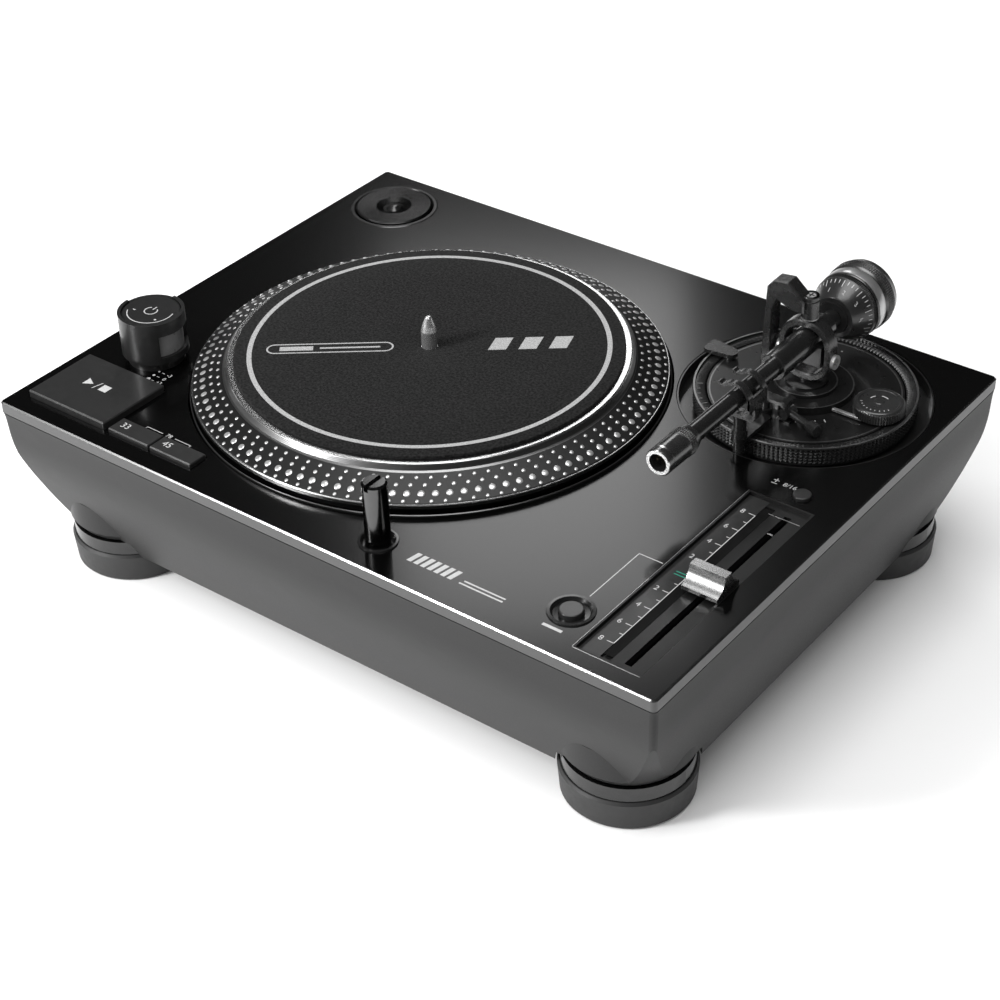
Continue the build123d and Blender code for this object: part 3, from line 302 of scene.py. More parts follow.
STRIP = finish_material("scale_strip", 0.045, 0.34, metal=0.6, spread=0.05)
# bright metal for thin lines; along the button, fader-recess and power-knob edges these lines are painted highlights
EDGE = finish_material("bright_edge", 0.5, 0.3, metal=0.9)
EDGE_DIM = finish_material("dim_edge", 0.2, 0.3, metal=0.9)
BAND = finish_material("turned_band", 0.5, 0.3, metal=0.8, spread=0.06)
# flat black for painted shade: the step's shadow beside the fader scale and the shade in the bearing screw's cross slot
SHADE_BLACK = finish_material("painted_shade_black", 0.004, 0.6, spread=0.3, specular=0.1)
KNOB_SLOT = "dial_black"
SCREW = finish_material("screw_bright", 0.5, 0.34, metal=0.75)
INK_GREEN = finish_material("ink_green", 0.2, 0.4, colour=(0.02, 0.20, 0.14))
BRIGHT = finish_material("bright_metal", 0.62, 0.2, metal=1.0)
DOT_SILVER = finish_material("dot_silver", 0.62, 0.32, metal=0.75, scale=1500.0, spread=0.1)
MAT_INK = finish_material("mat_ink", 0.30, 0.85, scale=1400.0, spread=0.3, grain=(1800.0, 0.1), specular=0.2)

for sub in frame["record"]["subparts"]:
    cad = frame["nodes"][sub["node"]]
    cad.data.materials.clear()
    cad.data.materials.append(MATERIALS[sub["material_slot"]])
frame["nodes"]["pivot_screws"].data.materials[0] = SCREW


# ---------------------------------------------------------------- mesh helpers
def add_piece(name, mesh_parts, body, material, sharp_deg=35.0):
    """A piece from (points in millimetres, faces), riding on a body."""
    points, faces = mesh_parts
    mesh = bpy.data.meshes.new(name)
    mesh.from_pydata([metres(point) for point in points], [], faces)
    work = bmesh.new()
    work.from_mesh(mesh)
    bmesh.ops.recalc_face_normals(work, faces=work.faces)
    work.to_mesh(mesh)
    work.free()
    mesh.polygons.foreach_set("use_smooth", [True] * len(mesh.polygons))
    mesh.set_sharp_from_angle(angle=math.radians(sharp_deg))
    mesh.materials.append(material)
    piece = bpy.data.objects.new(name, mesh)
    bpy.context.scene.collection.objects.link(piece)
    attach(piece, body)
    return piece


AXES = {
    "Z": (Vector((1, 0, 0)), Vector((0, 1, 0)), Vector((0, 0, 1))),
    "Y": (Vector((1, 0, 0)), Vector((0, 0, 1)), Vector((0, 1, 0))),
    "X": (Vector((0, 1, 0)), Vector((0, 0, 1)), Vector((1, 0, 0))),
}


def lathe(origin, profile, axis="Z", steps=96, relief=None):
    """Points and faces of a turned solid. The profile's (radius, height) pairs close on themselves,
    or on the axis where its first and last radius are 0. relief(turn, height) adds to the radius."""
    across, up, along = AXES[axis]
    origin = Vector(origin)
    poles = profile[0][0] == 0 and profile[-1][0] == 0
    rings = profile[1:-1] if poles else profile
    points = []
    for radius, height in rings:
        for step in range(steps):
            angle = 2 * math.pi * step / steps
            reach = radius + (relief(step / steps, height) if relief else 0.0)
            points.append(origin + across * reach * math.cos(angle) + up * reach * math.sin(angle) + along * height)
    faces = []
    count = len(rings)
    for ring in range(count - 1 if poles else count):
        near, far = ring * steps, (ring + 1) % count * steps
        for step in range(steps):
            after = (step + 1) % steps
            faces.append((near + step, near + after, far + after, far + step))
    if poles:
        for height, start in ((profile[0][1], 0), (profile[-1][1], (count - 1) * steps)):
            points.append(origin + along * height)
            pole = len(points) - 1
            for step in range(steps):
                faces.append((pole, start + step, start + (step + 1) % steps))
    return points, faces


def knurl(count, low, high, rows, depth):
    """Relief of small pyramids in rows between two heights."""
    def relief(turn, height):
        if not low < height < high:
            return 0.0
        around = abs((turn * count) % 1.0 - 0.5) * 2
        along = abs(((height - low) / (high - low) * rows) % 1.0 - 0.5) * 2
        return depth * (1 - max(around, along))
    return relief


def flutes(count, low, high, depth):
    """Relief of straight ribs between two heights."""
    def relief(turn, height):
        if not low < height < high:
            return 0.0
        return depth * (1 - abs((turn * count) % 1.0 - 0.5) * 2)
    return relief


def steps_between(radius, low, high, count):
    """Evenly spaced profile points up a straight wall."""
    return [(radius, low + (high - low) * i / count) for i in range(count + 1)]


def merged(*parts):
    points, faces = [], []
    for more_points, more_faces in parts:
        start = len(points)
        points += more_points
        faces += [tuple(start + index for index in face) for face in more_faces]
    return points, faces


def prism(outline, low, high):
    """Points and faces of an upright prism over an outline of (x, y) pairs."""
    count = len(outline)
    points = [(x, y, low) for x, y in outline] + [(x, y, high) for x, y in outline]
    faces = [tuple(reversed(range(count))), tuple(range(count, 2 * count))]
    faces += [(i, (i + 1) % count, count + (i + 1) % count, count + i) for i in range(count)]
    return points, faces


def ring_arc(x, y, inner, outer, start, end, steps, low, high):
    """An upright slice of a ring between two angles in degrees; a full turn closes on itself."""
    parts = []
    whole = abs(end - start) >= 360
    angles = [math.radians(start + (end - start) * i / steps) for i in range(steps if whole else steps + 1)]
    points, faces = [], []
    for angle in angles:
        c, s = math.cos(angle), math.sin(angle)
        points += [(x + inner * c, y + inner * s, low), (x + outer * c, y + outer * s, low),
                   (x + outer * c, y + outer * s, high), (x + inner * c, y + inner * s, high)]
    count = len(angles)
    for i in range(count if whole else count - 1):
        a, b = 4 * i, 4 * ((i + 1) % count)
        for edge in range(4):
            after = (edge + 1) % 4
            faces.append((a + edge, a + after, b + after, b + edge))
    if not whole:
        faces.append((0, 1, 2, 3))
        last = 4 * (count - 1)
        faces.append((last + 3, last + 2, last + 1, last))
    parts.append((points, faces))
    return parts[0]


def sliced(outline, axis, start, end, offset=(0.0, 0.0)):
    """Points and faces of a bar with a flat outline, drawn along X from (y, z) or along Y from (x, z)."""
    points = []
    for along in (start, end):
        for u, v in outline:
            u, v = u + offset[0], v + offset[1]
            points.append((along, u, v) if axis == "X" else (u, along, v))
    count = len(outline)
    faces = [tuple(reversed(range(count))), tuple(range(count, 2 * count))]
    faces += [(i, (i + 1) % count, count + (i + 1) % count, count + i) for i in range(count)]
    return points, faces


def inset_outline(outline, inset):
    """The same outline drawn in towards its inside; it may run either way round."""
    count = len(outline)
    area = sum(outline[i][0] * outline[(i + 1) % count][1] - outline[(i + 1) % count][0] * outline[i][1]
               for i in range(count))
    inward = inset if area > 0 else -inset
    drawn = []
    for index in range(count):
        before, here, after = (Vector(outline[(index + step) % count]) for step in (-1, 0, 1))
        first, second = (here - before).normalized(), (after - here).normalized()
        normal = Vector((-first.y, first.x)) + Vector((-second.y, second.x))
        normal = normal.normalized() * inward / max(0.5, math.cos(first.angle_signed(second, 0.0) / 2))
        drawn.append((here.x + normal.x, here.y + normal.y))
    return drawn


def chamfered(outline, axis, start, end, chamfer):
    """Like sliced, with its two outlines chamfered."""
    small = inset_outline(outline, chamfer)
    levels = ((small, start), (outline, start + chamfer), (outline, end - chamfer), (small, end))
    count = len(outline)
    points = []
    for shape, along in levels:
        points += [(along, u, v) if axis == "X" else (u, along, v) for u, v in shape]
    faces = [tuple(reversed(range(count))), tuple(range(3 * count, 4 * count))]
    for level in range(3):
        a, b = level * count, (level + 1) * count
        faces += [(a + i, a + (i + 1) % count, b + (i + 1) % count, b + i) for i in range(count)]
    return points, faces


def looped(path, section, centre_y):
    """A closed band: section (outward, along Y) pairs carried round a closed path of (x, z) points."""
    count, sides = len(path), len(section)
    points, faces = [], []
    for index in range(count):
        before, after = Vector(path[index - 1]), Vector(path[(index + 1) % count])
        run = (after - before).normalized()
        out = Vector((run.y, -run.x))
        points += [(path[index][0] + out.x * u, centre_y + v, path[index][1] + out.y * u) for u, v in section]
    for index in range(count):
        a, b = index * sides, (index + 1) % count * sides
        faces += [(a + i, a + (i + 1) % sides, b + (i + 1) % sides, b + i) for i in range(sides)]
    return points, faces


def rounded_rectangle(low, high, radius, steps=10):
    """Points round a rounded rectangle, anticlockwise."""
    points = []
    corners = ((high[0] - radius, high[1] - radius, 0), (low[0] + radius, high[1] - radius, 90),
               (low[0] + radius, low[1] + radius, 180), (high[0] - radius, low[1] + radius, 270))
    for x, z, start in corners:
        for step in range(steps + 1):
            angle = math.radians(start + 90 * step / steps)
            points.append((x + radius * math.cos(angle), z + radius * math.sin(angle)))
    return points


def strip_outline(path, thickness):
    """Outline of a bent strip of even thickness around a path of (u, v) points."""
    left, right = [], []
    for index, point in enumerate(path):
        before = Vector(path[max(index - 1, 0)])
        after = Vector(path[min(index + 1, len(path) - 1)])
        run = (after - before).normalized()
        side = Vector((-run.y, run.x)) * thickness / 2
        left.append((point[0] + side.x, point[1] + side.y))
        right.append((point[0] - side.x, point[1] - side.y))
    return left + right[::-1]


INK_T = 0.035  # how far printed marks stand off their surface


def bar(x0, y0, x1, y1, width, z):
    """A printed line between two points."""
    run = Vector((x1 - x0, y1 - y0))
    side = Vector((-run.y, run.x)).normalized() * width / 2
    outline = [(x0 + side.x, y0 + side.y), (x0 - side.x, y0 - side.y), (x1 - side.x, y1 - side.y),
               (x1 + side.x, y1 + side.y)]
    return prism(outline, z - INK_T, z + INK_T)


def dot(x, y, radius, z, steps=20):
    outline = [(x + radius * math.cos(2 * math.pi * i / steps), y + radius * math.sin(2 * math.pi * i / steps))
               for i in range(steps)]
    return prism(outline, z - INK_T, z + INK_T)


def numeral(text, x, y, size, z, turn=0.0):
    """Digits laid flat, centred on x, y."""
    curve = bpy.data.curves.new("digits", "FONT")
    curve.body = text
    curve.size = size
    curve.extrude = INK_T
    curve.align_x = "CENTER"
    curve.align_y = "CENTER"
    holder = bpy.data.objects.new("digits", curve)
    bpy.context.scene.collection.objects.link(holder)
    bpy.context.view_layer.update()
    mesh = bpy.data.meshes.new_from_object(holder.evaluated_get(bpy.context.evaluated_depsgraph_get()))
    c, s = math.cos(math.radians(turn)), math.sin(math.radians(turn))
    points = [(x + v.co.x * c - v.co.y * s, y + v.co.x * s + v.co.y * c, z + v.co.z) for v in mesh.vertices]
    faces = [tuple(polygon.vertices) for polygon in mesh.polygons]
    bpy.data.objects.remove(holder)
    bpy.data.curves.remove(curve)
    bpy.data.meshes.remove(mesh)
    return points, faces


def bent(parts, place):
    """Moves every point of flat parts with place(x, y, z)."""
    points, faces = parts
    return [place(*point) for point in points], faces


# ---------------------------------------------------------------- platter
def strobe_dots():
    """Four rows of small bright domes on the platter's sloping rim."""
    rows = [(105.3, 113, 0.85, 0.0), (101.9, 108, 1.5, 0.0), (98.1, 103, 0.95, 0.0), (94.8, 99, 0.85, 0.0)]
    inner, outer = Vector((92.5, 11.0)), Vector((106.2, 5.0))
    slope = math.atan2(inner.y - outer.y, outer.x - inner.x)
    parts = []
    sides = 12
    for radius, count, size, lead in rows:
        height = inner.y + (outer.y - inner.y) * (radius - inner.x) / (outer.x - inner.x)
        for index in range(count):
            angle = 2 * math.pi * (index + lead) / count
            points, faces = [], []
            for share, rise in ((1.0, -0.08), (1.0, 0.08), (0.8, 0.24), (0.4, 0.34)):
                for side in range(sides):
                    turn = 2 * math.pi * side / sides
                    u, v = size * share * math.cos(turn), size * share * math.sin(turn)
                    away = radius + u * math.cos(slope) + rise * math.sin(slope)
                    z = height - u * math.sin(slope) + rise * math.cos(slope)
                    points.append((
                        platter_at.x + away * math.cos(angle) - v * math.sin(angle),
                        platter_at.y + away * math.sin(angle) + v * math.cos(angle),
                        z,
                    ))
            for level in range(3):
                for side in range(sides):
                    after = (side + 1) % sides
                    a, b = level * sides, (level + 1) * sides
                    faces.append((a + side, a + after, b + after, b + side))
            faces.append(tuple(reversed(range(sides))))
            faces.append(tuple(range(3 * sides, 4 * sides)))
            parts.append((points, faces))
    return add_piece("strobe_dots", merged(*parts), "platter_assembly", DOT_SILVER, 50)


def slipmat():
    """Felt mat with a soft edge, a printed ring and plain printed marks."""
    low, high = span("slipmat")
    radius = (high.x - low.x) / 2
    top = high.z
    hole = 5.35
    neck = 3.75  # the felt closes in around the pin over the shaft's shoulder
    profile = [(hole, low.z), (radius - 0.3, low.z), (radius, low.z + 0.5), (radius, top - 0.55),
               (radius - 0.25, top - 0.15), (radius - 0.7, top), (radius * 0.66, top), (radius * 0.33, top),
               (neck + 0.2, top), (neck, top - 0.08), (neck, top - 0.24), (hole, top - 0.24)]
    mat = add_piece("felt_mat", lathe((platter_at.x, platter_at.y, 0), profile, steps=160), "platter_assembly",
                    MATERIALS["slipmat_felt"])
    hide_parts("slipmat")
    marks = [ring_arc(platter_at.x, platter_at.y, 79.3, 81.5, 0, 360, 160, top - INK_T, top + INK_T)]
    # plain marks either side of the spindle, on a line square to the way the deck is seen
    turn = math.radians(MARK_TURN)
    def place(x, y, z):
        return (platter_at.x + x * math.cos(turn) - y * math.sin(turn),
                platter_at.y + x * math.sin(turn) + y * math.cos(turn), z)
    left = [bar(-69, side * 3.6, -20, side * 3.6, 0.8, top) for side in (-1, 1)]
    left += [ring_arc(x, 0, 3.2, 4.0, start, start + 180, 16, top - INK_T, top + INK_T)
             for x, start in ((-69, 90), (-20, -90))]
    left += [bar(-67, 0, -52, 0, 3.4, top), bar(-49, 0, -22, 0, 1.2, top)]
    right = [prism([(x, -5.0), (x + 8.0, -5.0), (x + 11.5, 5.0), (x + 3.5, 5.0)], top - INK_T, top + INK_T)
             for x in (26, 39.5, 53)]
    marks += [bent(part, place) for part in left + right]
    return add_piece("mat_print", merged(*marks), "platter_assembly", MAT_INK)


MARK_TURN = 37.5

strobe_dots()
slipmat()

# ---------------------------------------------------------------- deck printing and trim
def printed(name, parts, body, material=None):
    """Printed marks or thin bright lines on one surface."""
    return add_piece(name, merged(*parts), body, material or INK)


def box_frame(low, high, width, z, sides="FBLR"):
    """Thin lines along the chosen sides of a rectangle: front, back, left, right."""
    x0, y0, x1, y1 = low.x, low.y, high.x, high.y
    lines = {"F": (x0, y0, x1, y0), "B": (x0, y1, x1, y1), "L": (x0, y0, x0, y1), "R": (x1, y0, x1, y1)}
    return [bar(*lines[side], width, z) for side in sides]


def arc_line(x, y, radius, width, start, end, z, steps=24):
    return ring_arc(x, y, radius - width / 2, radius + width / 2, start, end, steps, z - INK_T, z + INK_T)


def deck_print():
    speed = middle("speed_button_33"), middle("speed_button_45")
    edge = span("speed_button_33")[1].y
    reset = middle("reset_button")
    range_at = middle("range_button")
    fader_low, fader_high = span("fader_plate")
    zero = middle("fader_knob").y + 1.5
    tower = middle("tower_pillar")
    light = middle("target_light")
    marks = []
    # 78 with its bracket between the two speed buttons
    y = edge + 2.6
    centre = (speed[0].x + speed[1].x) / 2
    marks.append(numeral("78", centre, y, 3.2, 0.0))
    for side in (-1, 1):
        far = centre + side * 13.0
        marks.append(bar(centre + side * 3.6, y, far, y, 0.35, 0.0))
        marks.append(bar(far, y + 0.17, far, y - 1.6, 0.35, 0.0))
    # plain stripes along the front edge
    left = light.x + 17.3
    for index in range(7):
        x = left + index * 3.4
        marks.append(prism([(x, -121.0), (x + 2.2, -121.0), (x + 3.4, -114.6), (x + 1.2, -114.6)], -INK_T, INK_T))
    marks.append(bar(left + 26.5, -120.6, left + 48.0, -120.6, 0.8, 0.0))
    marks.append(bar(left + 27.6, -118.6, left + 48.0, -118.6, 0.8, 0.0))
    # reset: a short bar under the button and the line that joins it to the middle of the scale
    marks.append(bar(reset.x - 4.6, reset.y - 12.6, reset.x + 4.6, reset.y - 12.6, 1.5, 0.0))
    marks.append(bar(reset.x + 0.5, reset.y + 11.5, reset.x + 0.5, zero, 0.4, 0.0))
    marks.append(bar(reset.x + 0.3, zero, fader_low.x - 0.8, zero, 0.4, 0.0))
    # range: plus over minus, and a numeral
    x, y = range_at.x - 12.6, range_at.y + 3.0
    marks += [bar(x - 3.2, y + 0.9, x - 0.6, y + 0.9, 0.4, 0.0), bar(x - 1.9, y + 2.2, x - 1.9, y - 0.4, 0.4, 0.0),
              bar(x - 3.2, y - 1.4, x - 0.6, y - 1.4, 0.4, 0.0), numeral("8/16", x + 5.0, y, 3.6, 0.0)]
    # legend for the rows of strobe dots, beside the tower
    x = tower.x + 10.2
    for index, (size, text) in enumerate(((0.9, "+6"), (1.4, "+3"), (0.9, "0"), (0.7, "-3"))):
        y = tower.y - 19.4 + index * 3.5
        marks.append(dot(x, y, size * 0.75, 0.0))
        marks.append(numeral(text, x + 6.4, y, 3.0, 0.0))
        marks.append(bar(x + 1.9, y, x + 3.4, y, 0.3, 0.0))
    return printed("deck_print", marks, "chassis")


def fader_scale():
    low, high = span("fader_plate")
    floor_z = span("fader_plate")[1].z - 1.7
    zero = middle("fader_knob").y + 1.5
    line = low.x + 10.7
    strip = prism([(low.x + 1.3, low.y + 1.3), (line + 0.1, low.y + 1.3), (line + 0.1, high.y - 1.3),
                   (low.x + 1.3, high.y - 1.3)], floor_z - 0.05, floor_z + 0.05)
    add_piece("scale_strip", strip, "chassis", STRIP)
    z = floor_z + 0.06
    marks = [bar(line, zero - 50.4, line, zero + 50.4, 0.35, z)]
    for step in range(-8, 9):
        y = zero + step * 6.3
        major = step % 2 == 0
        if step:
            marks.append(bar(line - (3.2 if major else 1.8), y, line, y, 0.35, z))
        if major and step:
            marks.append(numeral(str(abs(step)), line - 6.0, y, 3.9, z))
    printed("fader_scale", marks, "chassis")
    green = [bar(line - 5.6, zero + side, line, zero + side, 0.55, z) for side in (-0.9, 0.9)]
    printed("fader_zero_marks", green, "chassis", INK_GREEN)
    # painted shadow beside the scale: a flat black strip where the step down to the lower floor throws its shade; and
    # the stem's slot
    slot_x = middle("fader_carriage").x
    channel = [bar(line + 2.6, low.y + 5.5, line + 2.6, high.y - 5.5, 4.4, floor_z + 0.02)]
    printed("fader_step_shadow", channel, "chassis", SHADE_BLACK)
    # the front and left edge lines of the recess are painted highlights; the two bars by the stem's slot are printed
    # marks
    edge = [box_frame(low, high, 0.42, -0.06, "F")[0], bar(low.x, low.y, low.x, high.y, 0.22, -0.06),
            bar(slot_x - 8.0, high.y - 8.2, slot_x + 8.4, high.y - 8.2, 0.3, z),
            bar(slot_x - 1.2, high.y - 20.0, slot_x + 1.2, high.y - 20.0, 0.8, z)]
    return printed("fader_edge_highlights_and_marks", edge, "chassis", EDGE)


def button_marks():
    low, high = span("start_stop_button")
    z = high.z
    x, y = middle("start_stop_button").x - 3.0, middle("start_stop_button").y + 1.5
    marks = [prism([(x - 5.0, y - 2.6), (x - 5.0, y + 2.6), (x - 0.4, y)], z - INK_T, z + INK_T),
             bar(x + 1.4, y - 2.8, x + 3.0, y + 2.8, 0.45, z),
             prism([(x + 4.6, y - 2.3), (x + 9.2, y - 2.3), (x + 9.2, y + 2.3), (x + 4.6, y + 2.3)], z - INK_T,
                   z + INK_T)]
    printed("start_stop_print", marks, "start_stop")
    # painted highlight: a bright line along the front edge of the button's top
    edge = [bar(low.x + 0.7, low.y + 0.6, high.x - 0.7, low.y + 0.6, 0.3, z)]
    printed("start_stop_edge_highlight", edge, "start_stop", EDGE)
    for text, body in (("33", "speed_33"), ("45", "speed_45")):
        low, high = span("speed_button_" + text)
        printed("speed_print_" + text, [numeral(text, low.x + 5.6, middle("speed_button_" + text).y + 0.6, 5.0, high.z)],
                body)
        # painted highlight along the front edge of each speed button's top
        printed("speed_edge_highlight_" + text, [bar(low.x + 0.5, low.y + 0.5, high.x - 0.5, low.y + 0.5, 0.25, high.z)], body,
                EDGE)


def tower_marks():
    at = middle("tower_pillar")
    z = span("tower_pillar")[1].z
    arc = [arc_line(at.x, at.y, 10.8, 0.45, -150, 20, z, 40), arc_line(at.x, at.y, 3.0, 0.5, -235, 55, z, 30),
           bar(at.x, at.y + 1.2, at.x, at.y + 4.0, 0.5, z), dot(at.x + 7.2, at.y - 4.6, 0.6, z),
           bar(at.x - 7.9, at.y - 3.4, at.x - 6.4, at.y - 3.4, 0.5, z)]
    printed("tower_print", arc, "chassis")
    low, high = span("power_knob")
    radius = (high.x - low.x) / 2
    # painted highlight: a bright arc round the power knob's top rim, from the left round the front to the back
    lip = ring_arc(at.x, at.y, radius - 0.55, radius - 0.12, -178, 88, 90, high.z - 0.12, high.z - 0.01)
    add_piece("tower_rim_highlight", lip, "power_switch", EDGE)


# ---------------------------------------------------------------- tonearm base
def knurled_height_ring():
    low, high = span("height_ring")
    at = middle("height_ring")
    radius = (high.x - low.x) / 2
    bottom, top = low.z, high.z
    rows = knurl(150, bottom + 0.8, top - 0.8, 5, 0.8)
    wall = steps_between(radius - 0.86, bottom + 0.8, top - 0.8, 30)
    profile = [(43.6, bottom), (radius - 0.8, bottom), *wall, (radius - 0.05, top - 0.55), (radius - 0.25, top - 0.1),
               (radius - 0.6, top - 0.02), (radius - 1.2, top - 0.2), (radius - 1.5, top - 1.1), (44.4, top - 1.1),
               (43.6, top - 1.3)]
    ring = add_piece("knurled_height_ring", lathe((at.x, at.y, 0), profile, steps=900, relief=rows),
                     "height_collar", MATERIALS["height_ring_metal"], 25)
    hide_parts("height_ring")
    lip = ring_arc(at.x, at.y, radius - 1.15, radius - 0.35, 0, 360, 180, top - 0.1, top - 0.01)
    add_piece("height_ring_lip", lip, "height_collar", EDGE_DIM)
    # height scale printed on the ring's sunken top
    marks = []
    for index in range(25):
        angle = math.radians(-150 + index * 5)
        inner = radius - (4.6 if index % 4 == 0 else 3.4)
        outer = radius - 2.0
        marks.append(bar(at.x + inner * math.cos(angle), at.y + inner * math.sin(angle),
                         at.x + outer * math.cos(angle), at.y + outer * math.sin(angle), 0.3, top - 1.1))
    printed("height_ring_print", marks, "height_collar", EDGE_DIM)


def arm_base_trim():
    at = middle("height_ring")
    low, high = span("arm_platform")
    turret_z = span("gimbal_arch")[0].z
    dish_z = turret_z - 3.4
    rings = [ring_arc(at.x, at.y, 20.5, 21.15, 0, 360, 120, turret_z - 0.04, turret_z + 0.04),
             ring_arc(at.x, at.y, 13.3, 13.95, 0, 360, 100, turret_z + 1.56, turret_z + 1.64),
             ring_arc(at.x, at.y, 41.6, 42.3, 0, 360, 160, dish_z - 0.04, dish_z + 0.04)]
    add_piece("turret_rings", merged(*rings), "arm_base", EDGE_DIM)
    # small marks on the dish around the turret
    marks = []
    for index in range(12):
        angle = math.radians(-140 + index * 9)
        marks.append(bar(at.x + 25.5 * math.cos(angle), at.y + 25.5 * math.sin(angle), at.x + 27.6 * math.cos(angle),
                         at.y + 27.6 * math.sin(angle), 0.4, dish_z))
    for index in range(8):
        angle = math.radians(150 - index * 8)
        marks.append(dot(at.x + 36.0 * math.cos(angle), at.y + 36.0 * math.sin(angle), 0.45, dish_z))
    printed("dish_print", marks, "arm_base")
    pan_low, pan_high = span("arm_pan")
    pan_radius = (pan_high.x - pan_low.x) / 2
    lip = ring_arc(at.x, at.y, pan_radius - 0.5, pan_radius - 0.06, 0, 360, 200, pan_high.z - 0.06, pan_high.z - 0.005)
    add_piece("pan_lip", lip, "chassis", EDGE_DIM)
    skate = middle("anti_skate_knob")
    bed_z = dish_z + 0.7
    bed = sliced([(0.0, 0.3), (0.3, 0.0), (1.5, 0.0), (1.8, 0.3), (1.8, 1.2), (1.5, 1.5), (0.3, 1.5), (0.0, 1.2)],
                 "X", at.x + 2.0, skate.x - 3.0, (skate.y - 10.4, bed_z - 0.2))
    add_piece("bed_edge", bed, "arm_base", BAND)


def fluted_skate_knob():
    low, high = span("anti_skate_knob")
    at = middle("anti_skate_knob")
    radius = (high.x - low.x) / 2
    bottom, top = low.z, high.z
    ribs = flutes(60, bottom + 0.6, top - 1.0, 0.45)
    profile = [(0, bottom), (radius - 1.0, bottom), (radius - 0.5, bottom + 0.5),
               *steps_between(radius - 0.5, bottom + 0.7, top - 1.1, 6), (radius - 0.5, top - 0.8),
               (radius - 0.9, top - 0.25), (radius - 1.4, top), (radius - 2.6, top), (radius - 2.9, top - 0.3),
               (2.4, top - 0.3), (2.0, top - 0.1), (0, top - 0.1)]
    knob = add_piece("fluted_skate_knob", lathe((at.x, at.y, 0), profile, steps=480, relief=ribs), "anti_skate",
                     MATERIALS[KNOB_SLOT], 25)
    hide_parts("anti_skate_knob")
    marks = [arc_line(at.x, at.y, 4.4, 0.5, 60, 105, top - 0.3, 12),
             arc_line(at.x, at.y, 4.4, 0.5, 140, 175, top - 0.3, 12)]
    for index in range(9):
        angle = math.radians(210 + index * 15)
        marks.append(bar(at.x + 7.2 * math.cos(angle), at.y + 7.2 * math.sin(angle), at.x + 8.0 * math.cos(angle),
                         at.y + 8.0 * math.sin(angle), 0.3, top - 0.3))
    printed("skate_print", marks, "anti_skate")
    rim = ring_arc(at.x, at.y, radius - 2.4, radius - 1.6, 0, 360, 90, top - 0.06, top - 0.005)
    add_piece("skate_rim", rim, "anti_skate", EDGE)


# ---------------------------------------------------------------- tonearm
def on_arm(radius_at):
    """Bends flat marks around the arm: x runs around it, y along it, z off its surface."""
    axis = middle("arm_tube")
    def place(x, y, z):
        radius = radius_at(y)
        angle = math.pi / 2 - x / radius
        return (axis.x + (radius + z) * math.cos(angle), y, axis.z + (radius + z) * math.sin(angle))
    return place


def headshell_collar():
    low, high = span("headshell_collar")
    axis = middle("arm_tube")
    front, back = low.y, high.y
    bore = 4.05
    grip = knurl(44, back - 7.6, back - 3.4, 3, 0.42)
    profile = [(bore, front + 0.3), (5.75, front + 0.3), (6.1, front + 0.7), (6.1, front + 2.6), (5.7, front + 2.9),
               (5.7, front + 3.5), (6.1, front + 3.8), (6.15, back - 9.2), (5.8, back - 8.9), (5.8, back - 8.3),
               (6.05, back - 8.0), *steps_between(6.05, back - 7.6, back - 3.4, 12), (6.0, back - 2.9),
               (5.4, back - 0.2), (5.1, back), (4.3, back), (4.3, front + 8.8), (bore, front + 8.8)]
    collar = add_piece("knurled_collar", lathe((axis.x, 0, axis.z), profile, "Y", 264, grip), "collar",
                       MATERIALS["collar_metal"], 25)
    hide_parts("headshell_collar")
    face = [(bore + 0.05, front + 0.02), (5.5, front + 0.02), (5.75, front + 0.3), (bore + 0.05, front + 0.3)]
    add_piece("collar_face", lathe((axis.x, 0, axis.z), face, "Y", 96), "collar", BRIGHT)


def counterweight():
    low, high = span("counterweight")
    axis = middle("arm_tube")
    front, back = low.y, high.y
    grip = knurl(96, back - 9.0, back - 3.8, 4, 0.4)
    profile = [(7.5, front), (15.3, front), (15.6, front + 0.4), (15.6, front + 0.9), (15.2, front + 1.1),
               (15.2, front + 6.4), (15.5, front + 6.6), (15.9, front + 7.2), (16.2, front + 7.7),
               *steps_between(16.1, back - 9.0, back - 3.8, 16), (15.9, back - 3.4), (15.4, back - 0.9),
               (14.6, back - 0.1), (13.4, back), (12.4, back), (11.9, back - 1.4), (5.3, back - 1.4), (5.3, front + 8.3),
               (7.5, front + 8.3)]
    weight = add_piece("knurled_weight", lathe((axis.x, 0, axis.z), profile, "Y", 384, grip), "rear_weight",
                       MATERIALS["weight_metal"], 25)
    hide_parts("counterweight")
    band = [(15.25, front + 1.2), (15.62, front + 1.2), (15.75, front + 1.5), (15.8, front + 6.0), (15.62, front + 6.3),
            (15.25, front + 6.3)]
    add_piece("weight_band", lathe((axis.x, 0, axis.z), band, "Y", 144), "rear_weight", BAND)


